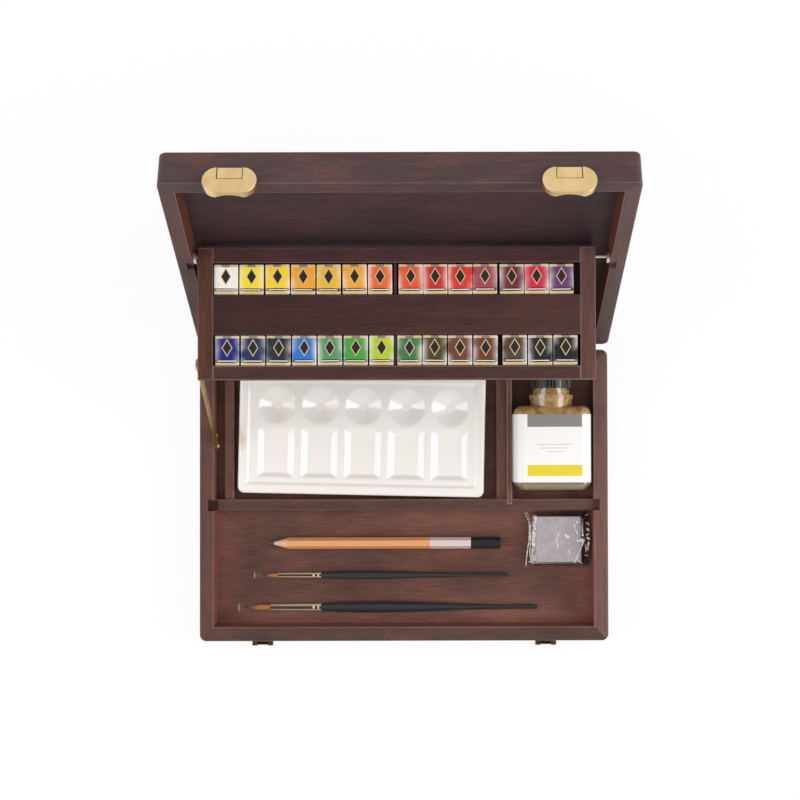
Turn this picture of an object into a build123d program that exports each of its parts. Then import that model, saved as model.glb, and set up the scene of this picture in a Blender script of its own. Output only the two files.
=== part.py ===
from build123d import *
import os
from math import cos, pi, radians, sin, sqrt

# A stained wooden watercolour box, standing open. All sizes are in millimetres.
# The origin is the centre of the base's underside, +X to the right, +Y to the back, +Z up.
# The lid leans back on two butt hinges. A tray of half pans hangs between the lid and one brass
# arm, which with the base make a parallelogram, so that it stays level as the lid turns.

os.makedirs("parts", exist_ok=True)

# Box
box_width = 300.0
box_depth = 213.6
base_height = 26.5
lid_height = 23.7
wall = 10.4
corner_radius = 5.0
rim_round = 1.0
inner_round = 0.5
panel_thickness = 4.5
panel_rebate = 5.0
panel_clearance = 0.2
closing_gap = 0.3
joint_clearance = 0.15
fixed_gap = 0.02

# Rear hinges and the lid's angle from closed
hinge_setback = 2.3
lid_angle = 115.0
hinge_offset_x = 95.0
hinge_length = 38.0
hinge_knuckles = 5
knuckle_radius = 1.95
knuckle_gap = 0.3
leaf_thickness = 1.0
leaf_height = 12.5
leaf_round = 1.0
hinge_pin_radius = 0.9
hinge_pin_clearance = 0.05

# Small brass screws
screw_head_radius = 1.7
screw_shank_radius = 0.9
screw_length = 8.0
screw_sink = 0.8
screw_slot_width = 0.5
screw_slot_depth = 0.35
leaf_screw_count = 3
leaf_screw_pitch = 13.0

# Dividers and rails in the base
divider_thickness = 7.9
divider_centre_y = -7.1
divider_top_gap = 6.0
dado_depth = 4.4
lid_notch_depth = 2.5
divider_round = 0.8
partition_thickness = 4.0
partition_round = 0.5
partition_x = 78.0
rail_width = 7.2
rail_top_gap = 12.0
left_rail_x = -129.5

# Linkage: the tray's rear pivots in the lid, and the arm's pivot in the base
pivot_from_hinge = 116.0
pivot_above_rim = 7.8
arm_pivot_y = 36.7
arm_pivot_drop = 6.7
arm_width = 8.0
arm_thickness = 1.0
arm_pin_radius = 1.3
arm_pin_clearance = 0.05
open_pivot_clearance = 0.3
arm_pin_head_radius = 2.0
arm_pin_head_height = 1.25
arm_pin_head_round = 0.9
arm_pin_depth = 5.5
spacer_radius = 3.0
spacer_thickness = 1.05
stack_gap = 0.05
stop_pin_radius = 1.6
stop_pin_gap = 0.3
stop_pin_along = 5.5
stop_pin_depth = 6.0
stop_pin_reach = 2.4
stop_pin_round = 0.5
rivet_head_radius = 3.6
rivet_head_height = 0.7
rivet_depth = 5.3
arm_notch_depth = 4.4
arm_notch_reach = 2.5

# Steel pivot bushes and rods
rod_radius = 1.5
rod_clearance = 0.05
rod_embed = 7.0
bush_flange_radius = 5.1
bush_flange_thickness = 2.0
bush_barrel_radius = 2.8
bush_barrel_depth = 5.0
rod_in_bush = 2.8

# Tray
tray_side_gap_left = 3.3
tray_width = 266.0
tray_depth = 88.3
tray_height = 18.0
pivot_to_tray_back = 5.2
pivot_to_tray_top = 7.2
tray_side = 10.2
tray_front_strip = 9.2
tray_back_strip = 10.1
middle_board_depth = 26.7
tray_floor_thickness = 2.5
tray_floor_lift = 2.5
tray_floor_groove = 2.0
tray_edge_round = 0.8
row_divider_x = -4.25
row_divider_width = 1.5
row_divider_height = 8.0

# Half pans, two rows of two groups. Places run from the tray's left side and from the divider.
pan_width = 16.2
pan_length = 20.2
pan_height = 11.2
pans_in_group = 7
pans_before_gap = 4
left_pan_pitch = 17.2
back_row = dict(left_start=0.5, right_start=1.4, right_pitch=16.65, group_gap=1.1)
front_row = dict(left_start=1.2, right_start=0.5, right_pitch=17.0, group_gap=2.4)
wrapper_thickness = 0.2
cup_clearance = 0.05
cup_wall = 1.0
cake_drop = 1.2
pan_end_gap = 0.35

# Catches
catch_x = 104.2
flap_width = 33.7
flap_height = 19.0
flap_centre_rise = -0.7
flap_face_out = 4.3
flap_thickness = 0.8
flap_lip_wall = 0.8
flap_wall_gap = 0.3
flap_notch_width = 17.4
flap_notch_sag = 2.6
flap_edge_round = 0.35
tab_width = 15.6
tab_height = 8.4
tab_gap = 0.4
tab_out = 4.7
tab_round = 0.6
plate_width = 27.0
plate_height = 8.4
plate_thickness = 0.8
plate_round = 1.5
plate_screw_x = 10.6
catch_pin_radius = 0.85
catch_pin_clearance = 0.07
catch_pin_out = 2.6
catch_pin_drop = 2.1
ear_thickness = 1.2
ear_radius = 1.5
keeper_width = 15.2
keeper_out = 3.6
keeper_height = 4.4
keeper_drop = 4.1
keeper_lug = 3.7
keeper_plate = 1.0
keeper_bar_radius = 0.7

# White palette, lying loose and slightly turned
palette_width = 181.9
palette_depth = 90.6
palette_height = 17.0
palette_turn = -1.3
palette_centre_x = -31.0
palette_corner = 5.0
palette_edge_round = 2.2
palette_lip = 7.3
palette_lip_round = 1.0
palette_deck_drop = 1.6
palette_front_gap = 0.9
palette_well_count = 5
palette_well_pitch = 32.1
palette_well_shift = 0.8
round_well_radius = 14.6
round_well_depth = 6.4
round_well_offset = 20.1
long_well_width = 28.1
long_well_length = 37.0
long_well_corner = 3.0
long_well_floor_width = 20.8
long_well_floor_length = 29.7
long_well_depth = 6.0
long_well_offset = -15.0
well_edge_round = 0.7
lying_gap = 0.1

# Bottle, lying with its label up
bottle_width = 56.5
bottle_thickness = 34.6
bottle_corner = 8.0
bottle_body_length = 61.3
bottle_side_gap = 0.3
bottle_front_gap = 7.3
bottle_chamfer = 4.5
bottle_shoulder_round = 6.0
glass_wall = 2.6
neck_radius = 15.4
neck_length = 5.0
neck_ring_radius = 16.3
neck_ring_length = 3.2
finish_radius = 12.5
collar_radius = 13.7
collar_length = 3.2
finish_length = 12.2
bottle_bore_radius = 10.0
liquid_gap = 0.1
air_depth = 4.0
label_thickness = 0.15
label_length = 49.6
label_start = 5.5
cap_radius = 14.5
cap_wall = 1.5
cap_start_gap = 1.5
cap_rib_count = 36
cap_rib_radius = 0.5
cap_rib_end_gap = 1.0
cap_edge_chamfer = 0.6
liner_thickness = 1.0
liner_gap = 0.3

# Eraser in its film
eraser_side = 34.2
eraser_height = 9.5
eraser_round = 1.2
eraser_edge_round = 1.0
eraser_x = 114.45
eraser_y = -33.6
film_gap = 0.4
film_thickness = 0.25
film_slack_x = 2.3
film_fin_left = 5.0
film_fin_right = 3.4
film_fin_depth = 41.0
film_fin_height = 4.0
film_seal = 0.5
film_round = 1.8
film_edge_round = 1.4

# Pencil
pencil_flats = 7.3
pencil_y = -36.4
pencil_tip_x = -101.3
pencil_length = 173.0
pencil_cone_start = 15.2
lead_radius = 1.05
lead_bare = 4.4
lead_point_radius = 0.25
pencil_wood_edge = 0.15

# Brushes, lying like the pencil. Lengths run from the tuft's tip towards the handle's end.
small_brush = dict(
    y=-60.2,
    tip_x=-105.7,
    tuft_length=11.7,
    tuft_radius=1.2,
    belly_radius=1.5,
    ferrule_length=32.0,
    ferrule_front=1.6,
    ferrule_back=1.85,
    handle_length=140.0,
    handle_radius=2.87,
    handle_end=1.3,
    sleeve_past_tip=6.3,
    sleeve_length=38.1,
    sleeve_radius=2.15,
)
large_brush = dict(
    y=-83.9,
    tip_x=-119.9,
    tuft_length=20.0,
    tuft_radius=1.7,
    belly_radius=2.15,
    ferrule_length=38.0,
    ferrule_front=2.15,
    ferrule_back=2.6,
    handle_length=161.3,
    handle_radius=3.95,
    handle_end=1.7,
    sleeve_past_tip=3.5,
    sleeve_length=53.6,
    sleeve_radius=2.9,
)
ferrule_wall = 0.35
crimp_count = 3
crimp_pitch = 1.9
crimp_from_handle = 3.2
crimp_radius = 0.5
crimp_depth = 0.2
tenon_length = 9.0
handle_swell_share = 0.2
handle_waist_share = 0.62
handle_waist_radius_share = 0.62
sleeve_wall = 0.3
sleeve_flare = 0.5
sleeve_flare_length = 1.0
bristle_count = 170
bristle_size_share = 0.05
bristle_spread = 0.94
bristle_root_overlap = 0.3
bristle_belly_share = 0.62
bristle_tip_radius_share = 0.2
bristle_end_share = 0.22
tuft_backing = 2.0

# Values that follow from the sizes above
half_width = box_width / 2
half_depth = box_depth / 2
inner_x = half_width - wall
inner_y = half_depth - wall
floor_z = panel_thickness
hinge_y = half_depth + hinge_setback
hinge_z = base_height
divider_back_y = divider_centre_y + divider_thickness / 2
divider_top_z = base_height - divider_top_gap
rail_top_z = base_height - rail_top_gap
lid_front = box_depth + hinge_setback


def in_lid(x, from_hinge, above_rim):
    return lid_plane.from_local_coords(Vector(x, -from_hinge, above_rim))


def save(builder, name):
    builder.part.label = name
    export_step(builder.part, f"parts/{name}.step")


# Lid coordinates: x, then distance towards the front from the hinge axis, then height above the rim
lid_back = sin(radians(lid_angle))
lid_down = cos(radians(lid_angle))
lid_plane = Plane(origin=(0, hinge_y, hinge_z), x_dir=(1, 0, 0), z_dir=(0, lid_back, lid_down))
lid_frame_origin = in_lid(0, hinge_setback + half_depth, 0)
lid_frame_plane = Plane(origin=lid_frame_origin, x_dir=(1, 0, 0), z_dir=lid_plane.z_dir)
base_plane = Plane.XY
lid_front_dir = lid_plane.y_dir * -1

# The link that the lid makes between the hinge and the tray's rear pivot, and the arm copies
tray_pivot = in_lid(0, pivot_from_hinge, pivot_above_rim)
link_y = tray_pivot.Y - hinge_y
link_z = tray_pivot.Z - hinge_z
link_length = sqrt(link_y**2 + link_z**2)
link_dir = Vector(0, link_y / link_length, link_z / link_length)
arm_side_dir = Vector(0, link_dir.Z, -link_dir.Y)
arm_pivot_z = base_height - arm_pivot_drop
arm_top_y = arm_pivot_y + link_y
arm_top_z = arm_pivot_z + link_z

tray_left_x = -inner_x + tray_side_gap_left
tray_right_x = tray_left_x + tray_width
tray_back_y = tray_pivot.Y + pivot_to_tray_back
tray_front_y = tray_back_y - tray_depth
tray_top_z = tray_pivot.Z + pivot_to_tray_top
tray_bottom_z = tray_top_z - tray_height

# Places on the walls. Each plane's z direction points out of the wood.
base_back_face = Plane(origin=(0, half_depth, base_height), x_dir=(-1, 0, 0), z_dir=(0, 1, 0))
lid_back_face = Plane(origin=in_lid(0, hinge_setback, 0), x_dir=(-1, 0, 0), z_dir=lid_plane.y_dir)
arm_pin_plane = Plane(
    origin=(-inner_x, arm_pivot_y, arm_pivot_z), x_dir=(0, 1, 0), z_dir=(1, 0, 0)
)
stop_pin_reach_side = arm_width / 2 + stop_pin_gap + stop_pin_radius
stop_pin_centre = arm_pin_plane.origin + link_dir * stop_pin_along + arm_side_dir * stop_pin_reach_side
stop_pin_plane = Plane(origin=stop_pin_centre, x_dir=(0, 1, 0), z_dir=(1, 0, 0))


def bush_plane(side):
    spot = in_lid(side * inner_x, pivot_from_hinge, pivot_above_rim)
    return Plane(origin=spot, x_dir=(0, 1, 0), z_dir=(-side, 0, 0))


def catch_plane(side):
    spot = in_lid(side * catch_x, lid_front, 0)
    return Plane(origin=spot, x_dir=(1, 0, 0), z_dir=lid_front_dir)


def keeper_plane(side):
    middle = base_height - keeper_drop - keeper_height / 2
    return Plane(origin=(side * catch_x, -half_depth, middle), x_dir=(1, 0, 0), z_dir=(0, -1, 0))


def leaf_screw_planes(face_plane, rise):
    places = []
    for side in (-1, 1):
        for step in range(leaf_screw_count):
            along = side * hinge_offset_x + (step - (leaf_screw_count - 1) / 2) * leaf_screw_pitch
            spot = face_plane.from_local_coords(Vector(along, rise, leaf_thickness))
            places.append(Plane(origin=spot, x_dir=face_plane.x_dir, z_dir=face_plane.z_dir))
    return places


leaf_edge = knuckle_radius + knuckle_gap
leaf_middle = (leaf_height + leaf_edge) / 2
base_leaf_screws = leaf_screw_planes(base_back_face, -leaf_middle)
lid_leaf_screws = leaf_screw_planes(lid_back_face, leaf_middle)

tab_top = flap_centre_rise + flap_height / 2
tab_centre = tab_top - tab_height / 2
catch_pin_rise = tab_top - catch_pin_drop
catch_screws = []
keeper_screws = []
for side in (-1, 1):
    for across in (-plate_screw_x, plate_screw_x):
        spot = catch_plane(side).from_local_coords(Vector(across, tab_centre, plate_thickness))
        catch_screws.append(Plane(origin=spot, x_dir=(1, 0, 0), z_dir=lid_front_dir))
    keeper_screws.append(keeper_plane(side).offset(keeper_plate))

on_top = (Align.CENTER, Align.CENTER, Align.MIN)
below = (Align.CENTER, Align.CENTER, Align.MAX)


# A countersunk screw below each plane, or the hole for it
def screws(planes, clearance=0, mode=Mode.ADD):
    with Locations(*planes):
        Cylinder(screw_shank_radius + clearance, screw_length + clearance, align=below, mode=mode)
        Cone(
            screw_shank_radius + clearance,
            screw_head_radius + clearance,
            screw_sink,
            align=below,
            mode=mode,
        )


def slotted_screws(planes):
    with BuildPart() as made:
        screws(planes)
        with Locations(*planes):
            Box(
                2 * screw_head_radius,
                screw_slot_width,
                screw_slot_depth,
                align=below,
                mode=Mode.SUBTRACT,
            )
    return made


# Mitred walls: each is one side of a rounded frame, thinner where the panel is let in
def frame_wall(side, plane, thick_from, thick_to, thin_from, thin_to):
    reach = half_width - half_depth
    way = -1 if side in ("front", "left") else 1
    if side in ("front", "back"):
        corners = [
            (-half_width, way * half_depth),
            (-reach, 0),
            (reach, 0),
            (half_width, way * half_depth),
        ]
    else:
        corners = [(way * half_width, -half_depth), (way * reach, 0), (way * half_width, half_depth)]
    stages = ((thick_from, thick_to, wall), (thin_from, thin_to, wall - panel_rebate))
    for low, high, thickness in stages:
        with BuildSketch(plane.offset(low)) as section:
            RectangleRounded(box_width, box_depth, corner_radius)
            Rectangle(box_width - 2 * thickness, box_depth - 2 * thickness, mode=Mode.SUBTRACT)
            Polygon(*corners, align=None, mode=Mode.INTERSECT)
        extrude(section.sketch, amount=high - low)


def round_wall_edges(builder, plane):
    up = Axis(plane.origin, plane.z_dir)
    for end in (0, -1):
        face = builder.faces().sort_by(up)[end]
        outer = []
        for edge in face.edges():
            spot = plane.to_local_coords(edge.center())
            beyond_x = abs(spot.X) > half_width - corner_radius / 2
            beyond_y = abs(spot.Y) > half_depth - corner_radius / 2
            if beyond_x or beyond_y:
                outer.append(edge)
        fillet(outer, rim_round)


def dado(side, plane, low, high):
    way = -1 if side == "left" else 1
    with BuildSketch(plane.offset(low)) as groove:
        with Locations((way * (inner_x + dado_depth / 2), divider_centre_y)):
            Rectangle(dado_depth, divider_thickness + 2 * joint_clearance)
    extrude(groove.sketch, amount=high - low, mode=Mode.SUBTRACT)


for side in ("front", "back", "left", "right"):
    with BuildPart() as base_wall:
        frame_wall(side, base_plane, panel_thickness, base_height, 0, panel_thickness)
        round_wall_edges(base_wall, base_plane)
        if side in ("left", "right"):
            dado(side, base_plane, panel_thickness, base_height)
        if side == "left":
            with Locations(arm_pin_plane):
                Cylinder(arm_pin_radius + fixed_gap, arm_pin_depth, align=below, mode=Mode.SUBTRACT)
            with Locations(stop_pin_plane):
                Cylinder(stop_pin_radius + fixed_gap, stop_pin_depth, align=below, mode=Mode.SUBTRACT)
        if side == "back":
            screws(base_leaf_screws, fixed_gap, Mode.SUBTRACT)
        if side == "front":
            screws(keeper_screws, fixed_gap, Mode.SUBTRACT)
    save(base_wall, f"base_wall_{side}")

lid_inner_height = lid_height - panel_thickness
for side in ("front", "back", "left", "right"):
    with BuildPart() as lid_wall:
        frame_wall(
            side, lid_frame_plane, closing_gap, lid_inner_height, lid_inner_height, lid_height
        )
        round_wall_edges(lid_wall, lid_frame_plane)
        if side in ("left", "right"):
            dado(side, lid_frame_plane, closing_gap, lid_notch_depth)
            with Locations(bush_plane(-1 if side == "left" else 1)):
                Cylinder(
                    bush_barrel_radius + fixed_gap, bush_barrel_depth, align=below, mode=Mode.SUBTRACT
                )
        if side == "back":
            screws(lid_leaf_screws, fixed_gap, Mode.SUBTRACT)
        if side == "front":
            screws(catch_screws, fixed_gap, Mode.SUBTRACT)
    save(lid_wall, f"lid_wall_{side}")

# Panels let into the rebates, flush with the outside
panel_width = 2 * (inner_x + panel_rebate - panel_clearance)
panel_depth = 2 * (inner_y + panel_rebate - panel_clearance)
with BuildPart() as base_panel:
    with BuildSketch(base_plane):
        Rectangle(panel_width, panel_depth)
    extrude(amount=panel_thickness)
save(base_panel, "base_panel")

with BuildPart() as lid_panel:
    with BuildSketch(lid_frame_plane.offset(lid_inner_height)):
        Rectangle(panel_width, panel_depth)
    extrude(amount=panel_thickness)
save(lid_panel, "lid_panel")

# Long divider, its ends in the side walls' dadoes. Its left end is lowered for the arm.
divider_half_length = inner_x + dado_depth - joint_clearance
with BuildPart() as long_divider:
    with BuildSketch(Plane.XY.offset(panel_thickness)):
        with Locations((0, divider_centre_y)):
            Rectangle(2 * divider_half_length, divider_thickness)
    extrude(amount=divider_top_z - panel_thickness)
    fillet(long_divider.edges().filter_by(Axis.X).group_by(Axis.Z)[-1], divider_round)
    with BuildSketch(Plane.XY.offset(divider_top_z)):
        with Locations((-inner_x - (dado_depth - arm_notch_reach) / 2, divider_centre_y)):
            Rectangle(dado_depth + arm_notch_reach, divider_thickness)
    extrude(amount=-arm_notch_depth, mode=Mode.SUBTRACT)
    with BuildSketch(Plane.XY.offset(panel_thickness)):
        with Locations((partition_x, divider_back_y)):
            Rectangle(partition_thickness + 2 * joint_clearance, divider_thickness)
    extrude(amount=divider_top_z - panel_thickness, mode=Mode.SUBTRACT)
save(long_divider, "long_divider")

partition_front_y = divider_centre_y + joint_clearance
with BuildPart() as bottle_partition:
    with BuildSketch(Plane.XY.offset(panel_thickness)):
        with Locations((partition_x, (partition_front_y + inner_y) / 2)):
            Rectangle(partition_thickness, inner_y - partition_front_y)
    extrude(amount=divider_top_z - panel_thickness)
    fillet(bottle_partition.edges().filter_by(Axis.Y).group_by(Axis.Z)[-1], partition_round)
save(bottle_partition, "bottle_partition")

right_rail_x = partition_x - (partition_thickness + rail_width) / 2
for name, rail_x in (("palette_rail_left", left_rail_x), ("palette_rail_right", right_rail_x)):
    with BuildPart() as rail:
        with BuildSketch(Plane.XY.offset(panel_thickness)):
            with Locations((rail_x, (divider_back_y + inner_y) / 2)):
                Rectangle(rail_width, inner_y - divider_back_y)
        extrude(amount=rail_top_z - panel_thickness)
        fillet(rail.edges().filter_by(Axis.Y).group_by(Axis.Z)[-1], divider_round)
    save(rail, name)

# Catch keepers: a back plate with two lugs and a bar between them
with BuildPart() as catch_keepers:
    with Locations(keeper_plane(-1), keeper_plane(1)):
        Box(keeper_width, keeper_height, keeper_out, align=on_top)
        with Locations((0, 0, keeper_plate)):
            Box(
                keeper_width - 2 * keeper_lug,
                keeper_height,
                keeper_out,
                align=on_top,
                mode=Mode.SUBTRACT,
            )
        with Locations((0, keeper_bar_radius - keeper_height / 2, keeper_out - keeper_bar_radius)):
            Cylinder(keeper_bar_radius, keeper_width - keeper_lug, rotation=(0, 90, 0))
    screws(keeper_screws, fixed_gap, Mode.SUBTRACT)
save(catch_keepers, "catch_keepers")

# Butt hinges: the leaves lie on the back faces, with their knuckles in turn on one pin
knuckle_pitch = hinge_length / hinge_knuckles


def hinge_leaves(face_plane, way, own_knuckles, bore, leaf_screws):
    middles = [(side * hinge_offset_x, way * leaf_middle) for side in (-1, 1)]
    knuckles = [
        side * hinge_offset_x + (index - (hinge_knuckles - 1) / 2) * knuckle_pitch
        for side in (-1, 1)
        for index in own_knuckles
    ]
    knuckle_length = knuckle_pitch - knuckle_gap
    web_height = leaf_edge + leaf_round
    with BuildPart() as leaves:
        with BuildSketch(face_plane) as outline:
            with Locations(*middles):
                RectangleRounded(hinge_length, leaf_height - leaf_edge, leaf_round)
        extrude(outline.sketch, amount=leaf_thickness)
        with Locations(face_plane):
            with Locations(*[(x, way * web_height / 2, 0) for x in knuckles]):
                Box(knuckle_length, web_height, leaf_thickness, align=on_top)
            with Locations(*[(x, 0, hinge_setback) for x in knuckles]):
                Cylinder(knuckle_radius, knuckle_length, rotation=(0, 90, 0))
                Cylinder(bore, knuckle_pitch, rotation=(0, 90, 0), mode=Mode.SUBTRACT)
        screws(leaf_screws, fixed_gap, Mode.SUBTRACT)
    return leaves


base_knuckles = range(0, hinge_knuckles, 2)
lid_knuckles = range(1, hinge_knuckles, 2)
base_bore = hinge_pin_radius + fixed_gap
lid_bore = hinge_pin_radius + hinge_pin_clearance
save(
    hinge_leaves(base_back_face, -1, base_knuckles, base_bore, base_leaf_screws),
    "base_hinge_leaves",
)
save(hinge_leaves(lid_back_face, 1, lid_knuckles, lid_bore, lid_leaf_screws), "lid_hinge_leaves")

with BuildPart() as hinge_pins:
    for side in (-1, 1):
        with Locations((side * hinge_offset_x, hinge_y, hinge_z)):
            Cylinder(hinge_pin_radius, hinge_length, rotation=(0, 90, 0))
save(hinge_pins, "hinge_pins")

save(slotted_screws(base_leaf_screws + keeper_screws), "base_screws")
save(slotted_screws(lid_leaf_screws + catch_screws), "lid_screws")

# Lift arm with its pin, spacer and stop on the base's left wall
arm_in = spacer_thickness + stack_gap
arm_pin_head_at = arm_in + arm_thickness + stack_gap
with BuildPart() as arm_spacer:
    with Locations(arm_pin_plane):
        Cylinder(spacer_radius, spacer_thickness, align=on_top)
        Cylinder(arm_pin_radius + fixed_gap, spacer_thickness, align=on_top, mode=Mode.SUBTRACT)
save(arm_spacer, "arm_spacer")

with BuildPart() as arm_pivot_pin:
    with Locations(arm_pin_plane):
        Cylinder(arm_pin_radius, arm_pin_depth, align=below)
        Cylinder(arm_pin_radius, arm_pin_head_at, align=on_top)
    with Locations(arm_pin_plane.offset(arm_pin_head_at)):
        Cylinder(arm_pin_head_radius, arm_pin_head_height, align=on_top)
    fillet(arm_pivot_pin.edges().group_by(Axis.X)[-1], arm_pin_head_round)
save(arm_pivot_pin, "arm_pivot_pin")

with BuildPart() as arm_stop_pin:
    with Locations(stop_pin_plane):
        Cylinder(stop_pin_radius, stop_pin_depth, align=below)
        Cylinder(stop_pin_radius, stop_pin_reach, align=on_top)
    fillet(arm_stop_pin.edges().group_by(Axis.X)[-1], stop_pin_round)
save(arm_stop_pin, "arm_stop_pin")

arm_plane = Plane(origin=arm_pin_plane.offset(arm_in).origin, x_dir=link_dir, z_dir=(1, 0, 0))
with BuildPart() as lift_arm:
    with BuildSketch(arm_plane):
        with Locations((link_length / 2, 0)):
            SlotCenterToCenter(link_length, arm_width)
        Circle(arm_pin_radius + arm_pin_clearance, mode=Mode.SUBTRACT)
        with Locations((link_length, 0)):
            Circle(arm_pin_radius + open_pivot_clearance, mode=Mode.SUBTRACT)
    extrude(amount=arm_thickness)
save(lift_arm, "lift_arm")

# Tray: side walls run the full depth, with the front and back strips between them
tray_inner_left = tray_left_x + tray_side
tray_inner_right = tray_right_x - tray_side
tray_inner_front = tray_front_y + tray_front_strip
tray_inner_back = tray_back_y - tray_back_strip
board_front_y = tray_inner_front + pan_length + 2 * pan_end_gap
board_back_y = board_front_y + middle_board_depth
tray_floor_top_z = tray_bottom_z + tray_floor_lift + tray_floor_thickness
groove_half_x = (tray_inner_right - tray_inner_left) / 2 + tray_floor_groove
groove_half_y = (tray_inner_back - tray_inner_front) / 2 + tray_floor_groove
tray_middle = ((tray_inner_left + tray_inner_right) / 2, (tray_inner_front + tray_inner_back) / 2)
tray_bottom_plane = Plane.XY.offset(tray_bottom_z)
rod_planes = {
    "left": Plane(
        origin=(tray_left_x, tray_pivot.Y, tray_pivot.Z), x_dir=(0, 1, 0), z_dir=(-1, 0, 0)
    ),
    "right": Plane(
        origin=(tray_right_x, tray_pivot.Y, tray_pivot.Z), x_dir=(0, 1, 0), z_dir=(1, 0, 0)
    ),
}
rivet_plane = Plane(origin=(tray_left_x, arm_top_y, arm_top_z), x_dir=(0, 1, 0), z_dir=(-1, 0, 0))

tray_walls = {
    "left": (tray_left_x, tray_inner_left, tray_front_y, tray_back_y),
    "right": (tray_inner_right, tray_right_x, tray_front_y, tray_back_y),
    "front": (tray_inner_left, tray_inner_right, tray_front_y, tray_inner_front),
    "back": (tray_inner_left, tray_inner_right, tray_inner_back, tray_back_y),
}
for side, (low_x, high_x, low_y, high_y) in tray_walls.items():
    along = Axis.Y if side in ("left", "right") else Axis.X
    across = Axis.X if side in ("left", "right") else Axis.Y
    outside = 0 if side in ("left", "front") else -1
    with BuildPart() as tray_wall:
        with BuildSketch(tray_bottom_plane):
            with Locations(((low_x + high_x) / 2, (low_y + high_y) / 2)):
                Rectangle(high_x - low_x, high_y - low_y)
        extrude(amount=tray_height)
        fillet(tray_wall.edges().filter_by(along).group_by(across)[outside], tray_edge_round)
        with BuildSketch(tray_bottom_plane.offset(tray_floor_lift)):
            with Locations(tray_middle):
                Rectangle(2 * groove_half_x, 2 * groove_half_y)
        extrude(amount=tray_floor_thickness, mode=Mode.SUBTRACT)
        if side in rod_planes:
            with Locations(rod_planes[side]):
                Cylinder(rod_radius + fixed_gap, rod_embed, align=below, mode=Mode.SUBTRACT)
        if side == "left":
            with Locations(rivet_plane):
                Cylinder(arm_pin_radius + fixed_gap, rivet_depth, align=below, mode=Mode.SUBTRACT)
    save(tray_wall, f"tray_wall_{side}")

with BuildPart() as tray_floor:
    with BuildSketch(tray_bottom_plane.offset(tray_floor_lift)):
        with Locations(tray_middle):
            Rectangle(2 * (groove_half_x - joint_clearance), 2 * (groove_half_y - joint_clearance))
    extrude(amount=tray_floor_thickness)
save(tray_floor, "tray_floor")

with BuildPart() as tray_middle_board:
    with BuildSketch(Plane.XY.offset(tray_floor_top_z)):
        with Locations((tray_middle[0], (board_front_y + board_back_y) / 2)):
            Rectangle(tray_inner_right - tray_inner_left, middle_board_depth)
    extrude(amount=tray_top_z - tray_floor_top_z)
    fillet(tray_middle_board.edges().filter_by(Axis.X).group_by(Axis.Z)[-1], inner_round)
save(tray_middle_board, "tray_middle_board")

with BuildPart() as tray_row_dividers:
    for low_y, high_y in ((tray_inner_front, board_front_y), (board_back_y, tray_inner_back)):
        with BuildSketch(Plane.XY.offset(tray_floor_top_z)):
            with Locations((row_divider_x, (low_y + high_y) / 2)):
                Rectangle(row_divider_width, high_y - low_y)
        extrude(amount=row_divider_height)
save(tray_row_dividers, "tray_row_dividers")

with BuildPart() as tray_pivot_rods:
    for side, way in (("left", -1), ("right", 1)):
        start = rod_planes[side].offset(-rod_embed)
        reach = abs(way * (inner_x + rod_in_bush) - start.origin.X)
        with Locations(start):
            Cylinder(rod_radius, reach, align=on_top)
save(tray_pivot_rods, "tray_pivot_rods")

with BuildPart() as tray_pivot_bushes:
    with Locations(bush_plane(-1), bush_plane(1)):
        Cylinder(bush_flange_radius, bush_flange_thickness, align=on_top)
        Cylinder(bush_barrel_radius, bush_barrel_depth, align=below)
        Cylinder(rod_radius + rod_clearance, 2 * bush_barrel_depth, mode=Mode.SUBTRACT)
save(tray_pivot_bushes, "tray_pivot_bushes")

arm_inner_x = -inner_x + arm_in + arm_thickness
rivet_washer = tray_left_x - arm_inner_x - stack_gap
rivet_head_at = rivet_washer + arm_thickness + 2 * stack_gap
with BuildPart() as arm_rivet:
    with Locations(rivet_plane):
        Cylinder(arm_pin_radius, rivet_depth, align=below)
        Cylinder(spacer_radius, rivet_washer, align=on_top)
        Cylinder(arm_pin_radius, rivet_head_at, align=on_top)
    with Locations(rivet_plane.offset(rivet_head_at)):
        Cylinder(rivet_head_radius, rivet_head_height, align=on_top)
    fillet(arm_rivet.edges().group_by(Axis.X)[0], rivet_head_height / 2)
save(arm_rivet, "arm_rivet")

# Half pans: cup, paint cake and paper wrapper, in two rows of two groups
left_from_x = tray_inner_left + pan_width / 2
right_from_x = row_divider_x + row_divider_width / 2 + pan_width / 2
pan_places = []
for row, row_start_y in ((back_row, board_back_y), (front_row, tray_inner_front)):
    row_y = row_start_y + pan_end_gap + pan_length / 2
    for index in range(pans_in_group):
        pan_places.append((left_from_x + row["left_start"] + index * left_pan_pitch, row_y))
    for index in range(pans_in_group):
        extra = row["group_gap"] if index >= pans_before_gap else 0
        along = row["right_start"] + index * row["right_pitch"] + extra
        pan_places.append((right_from_x + along, row_y))

inside_width = pan_width - 2 * wrapper_thickness
inside_height = pan_height - 2 * wrapper_thickness
cup_width = inside_width - 2 * cup_clearance
cup_length = pan_length - 2 * wrapper_thickness
cup_height = inside_height - 2 * cup_clearance
cup_z = tray_floor_top_z + wrapper_thickness + cup_clearance
with BuildPart(Plane.XY.offset(tray_floor_top_z)) as pan_wrappers:
    with Locations(*pan_places):
        Box(pan_width, pan_length, pan_height, align=on_top)
        with Locations((0, 0, wrapper_thickness)):
            Box(inside_width, pan_length, inside_height, align=on_top, mode=Mode.SUBTRACT)
save(pan_wrappers, "pan_wrappers")

with BuildPart(Plane.XY.offset(cup_z)) as pan_cups:
    with Locations(*pan_places):
        Box(cup_width, cup_length, cup_height, align=on_top)
        with Locations((0, 0, cup_wall)):
            Box(
                cup_width - 2 * cup_wall,
                cup_length - 2 * cup_wall,
                cup_height,
                align=on_top,
                mode=Mode.SUBTRACT,
            )
save(pan_cups, "pan_cups")

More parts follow.
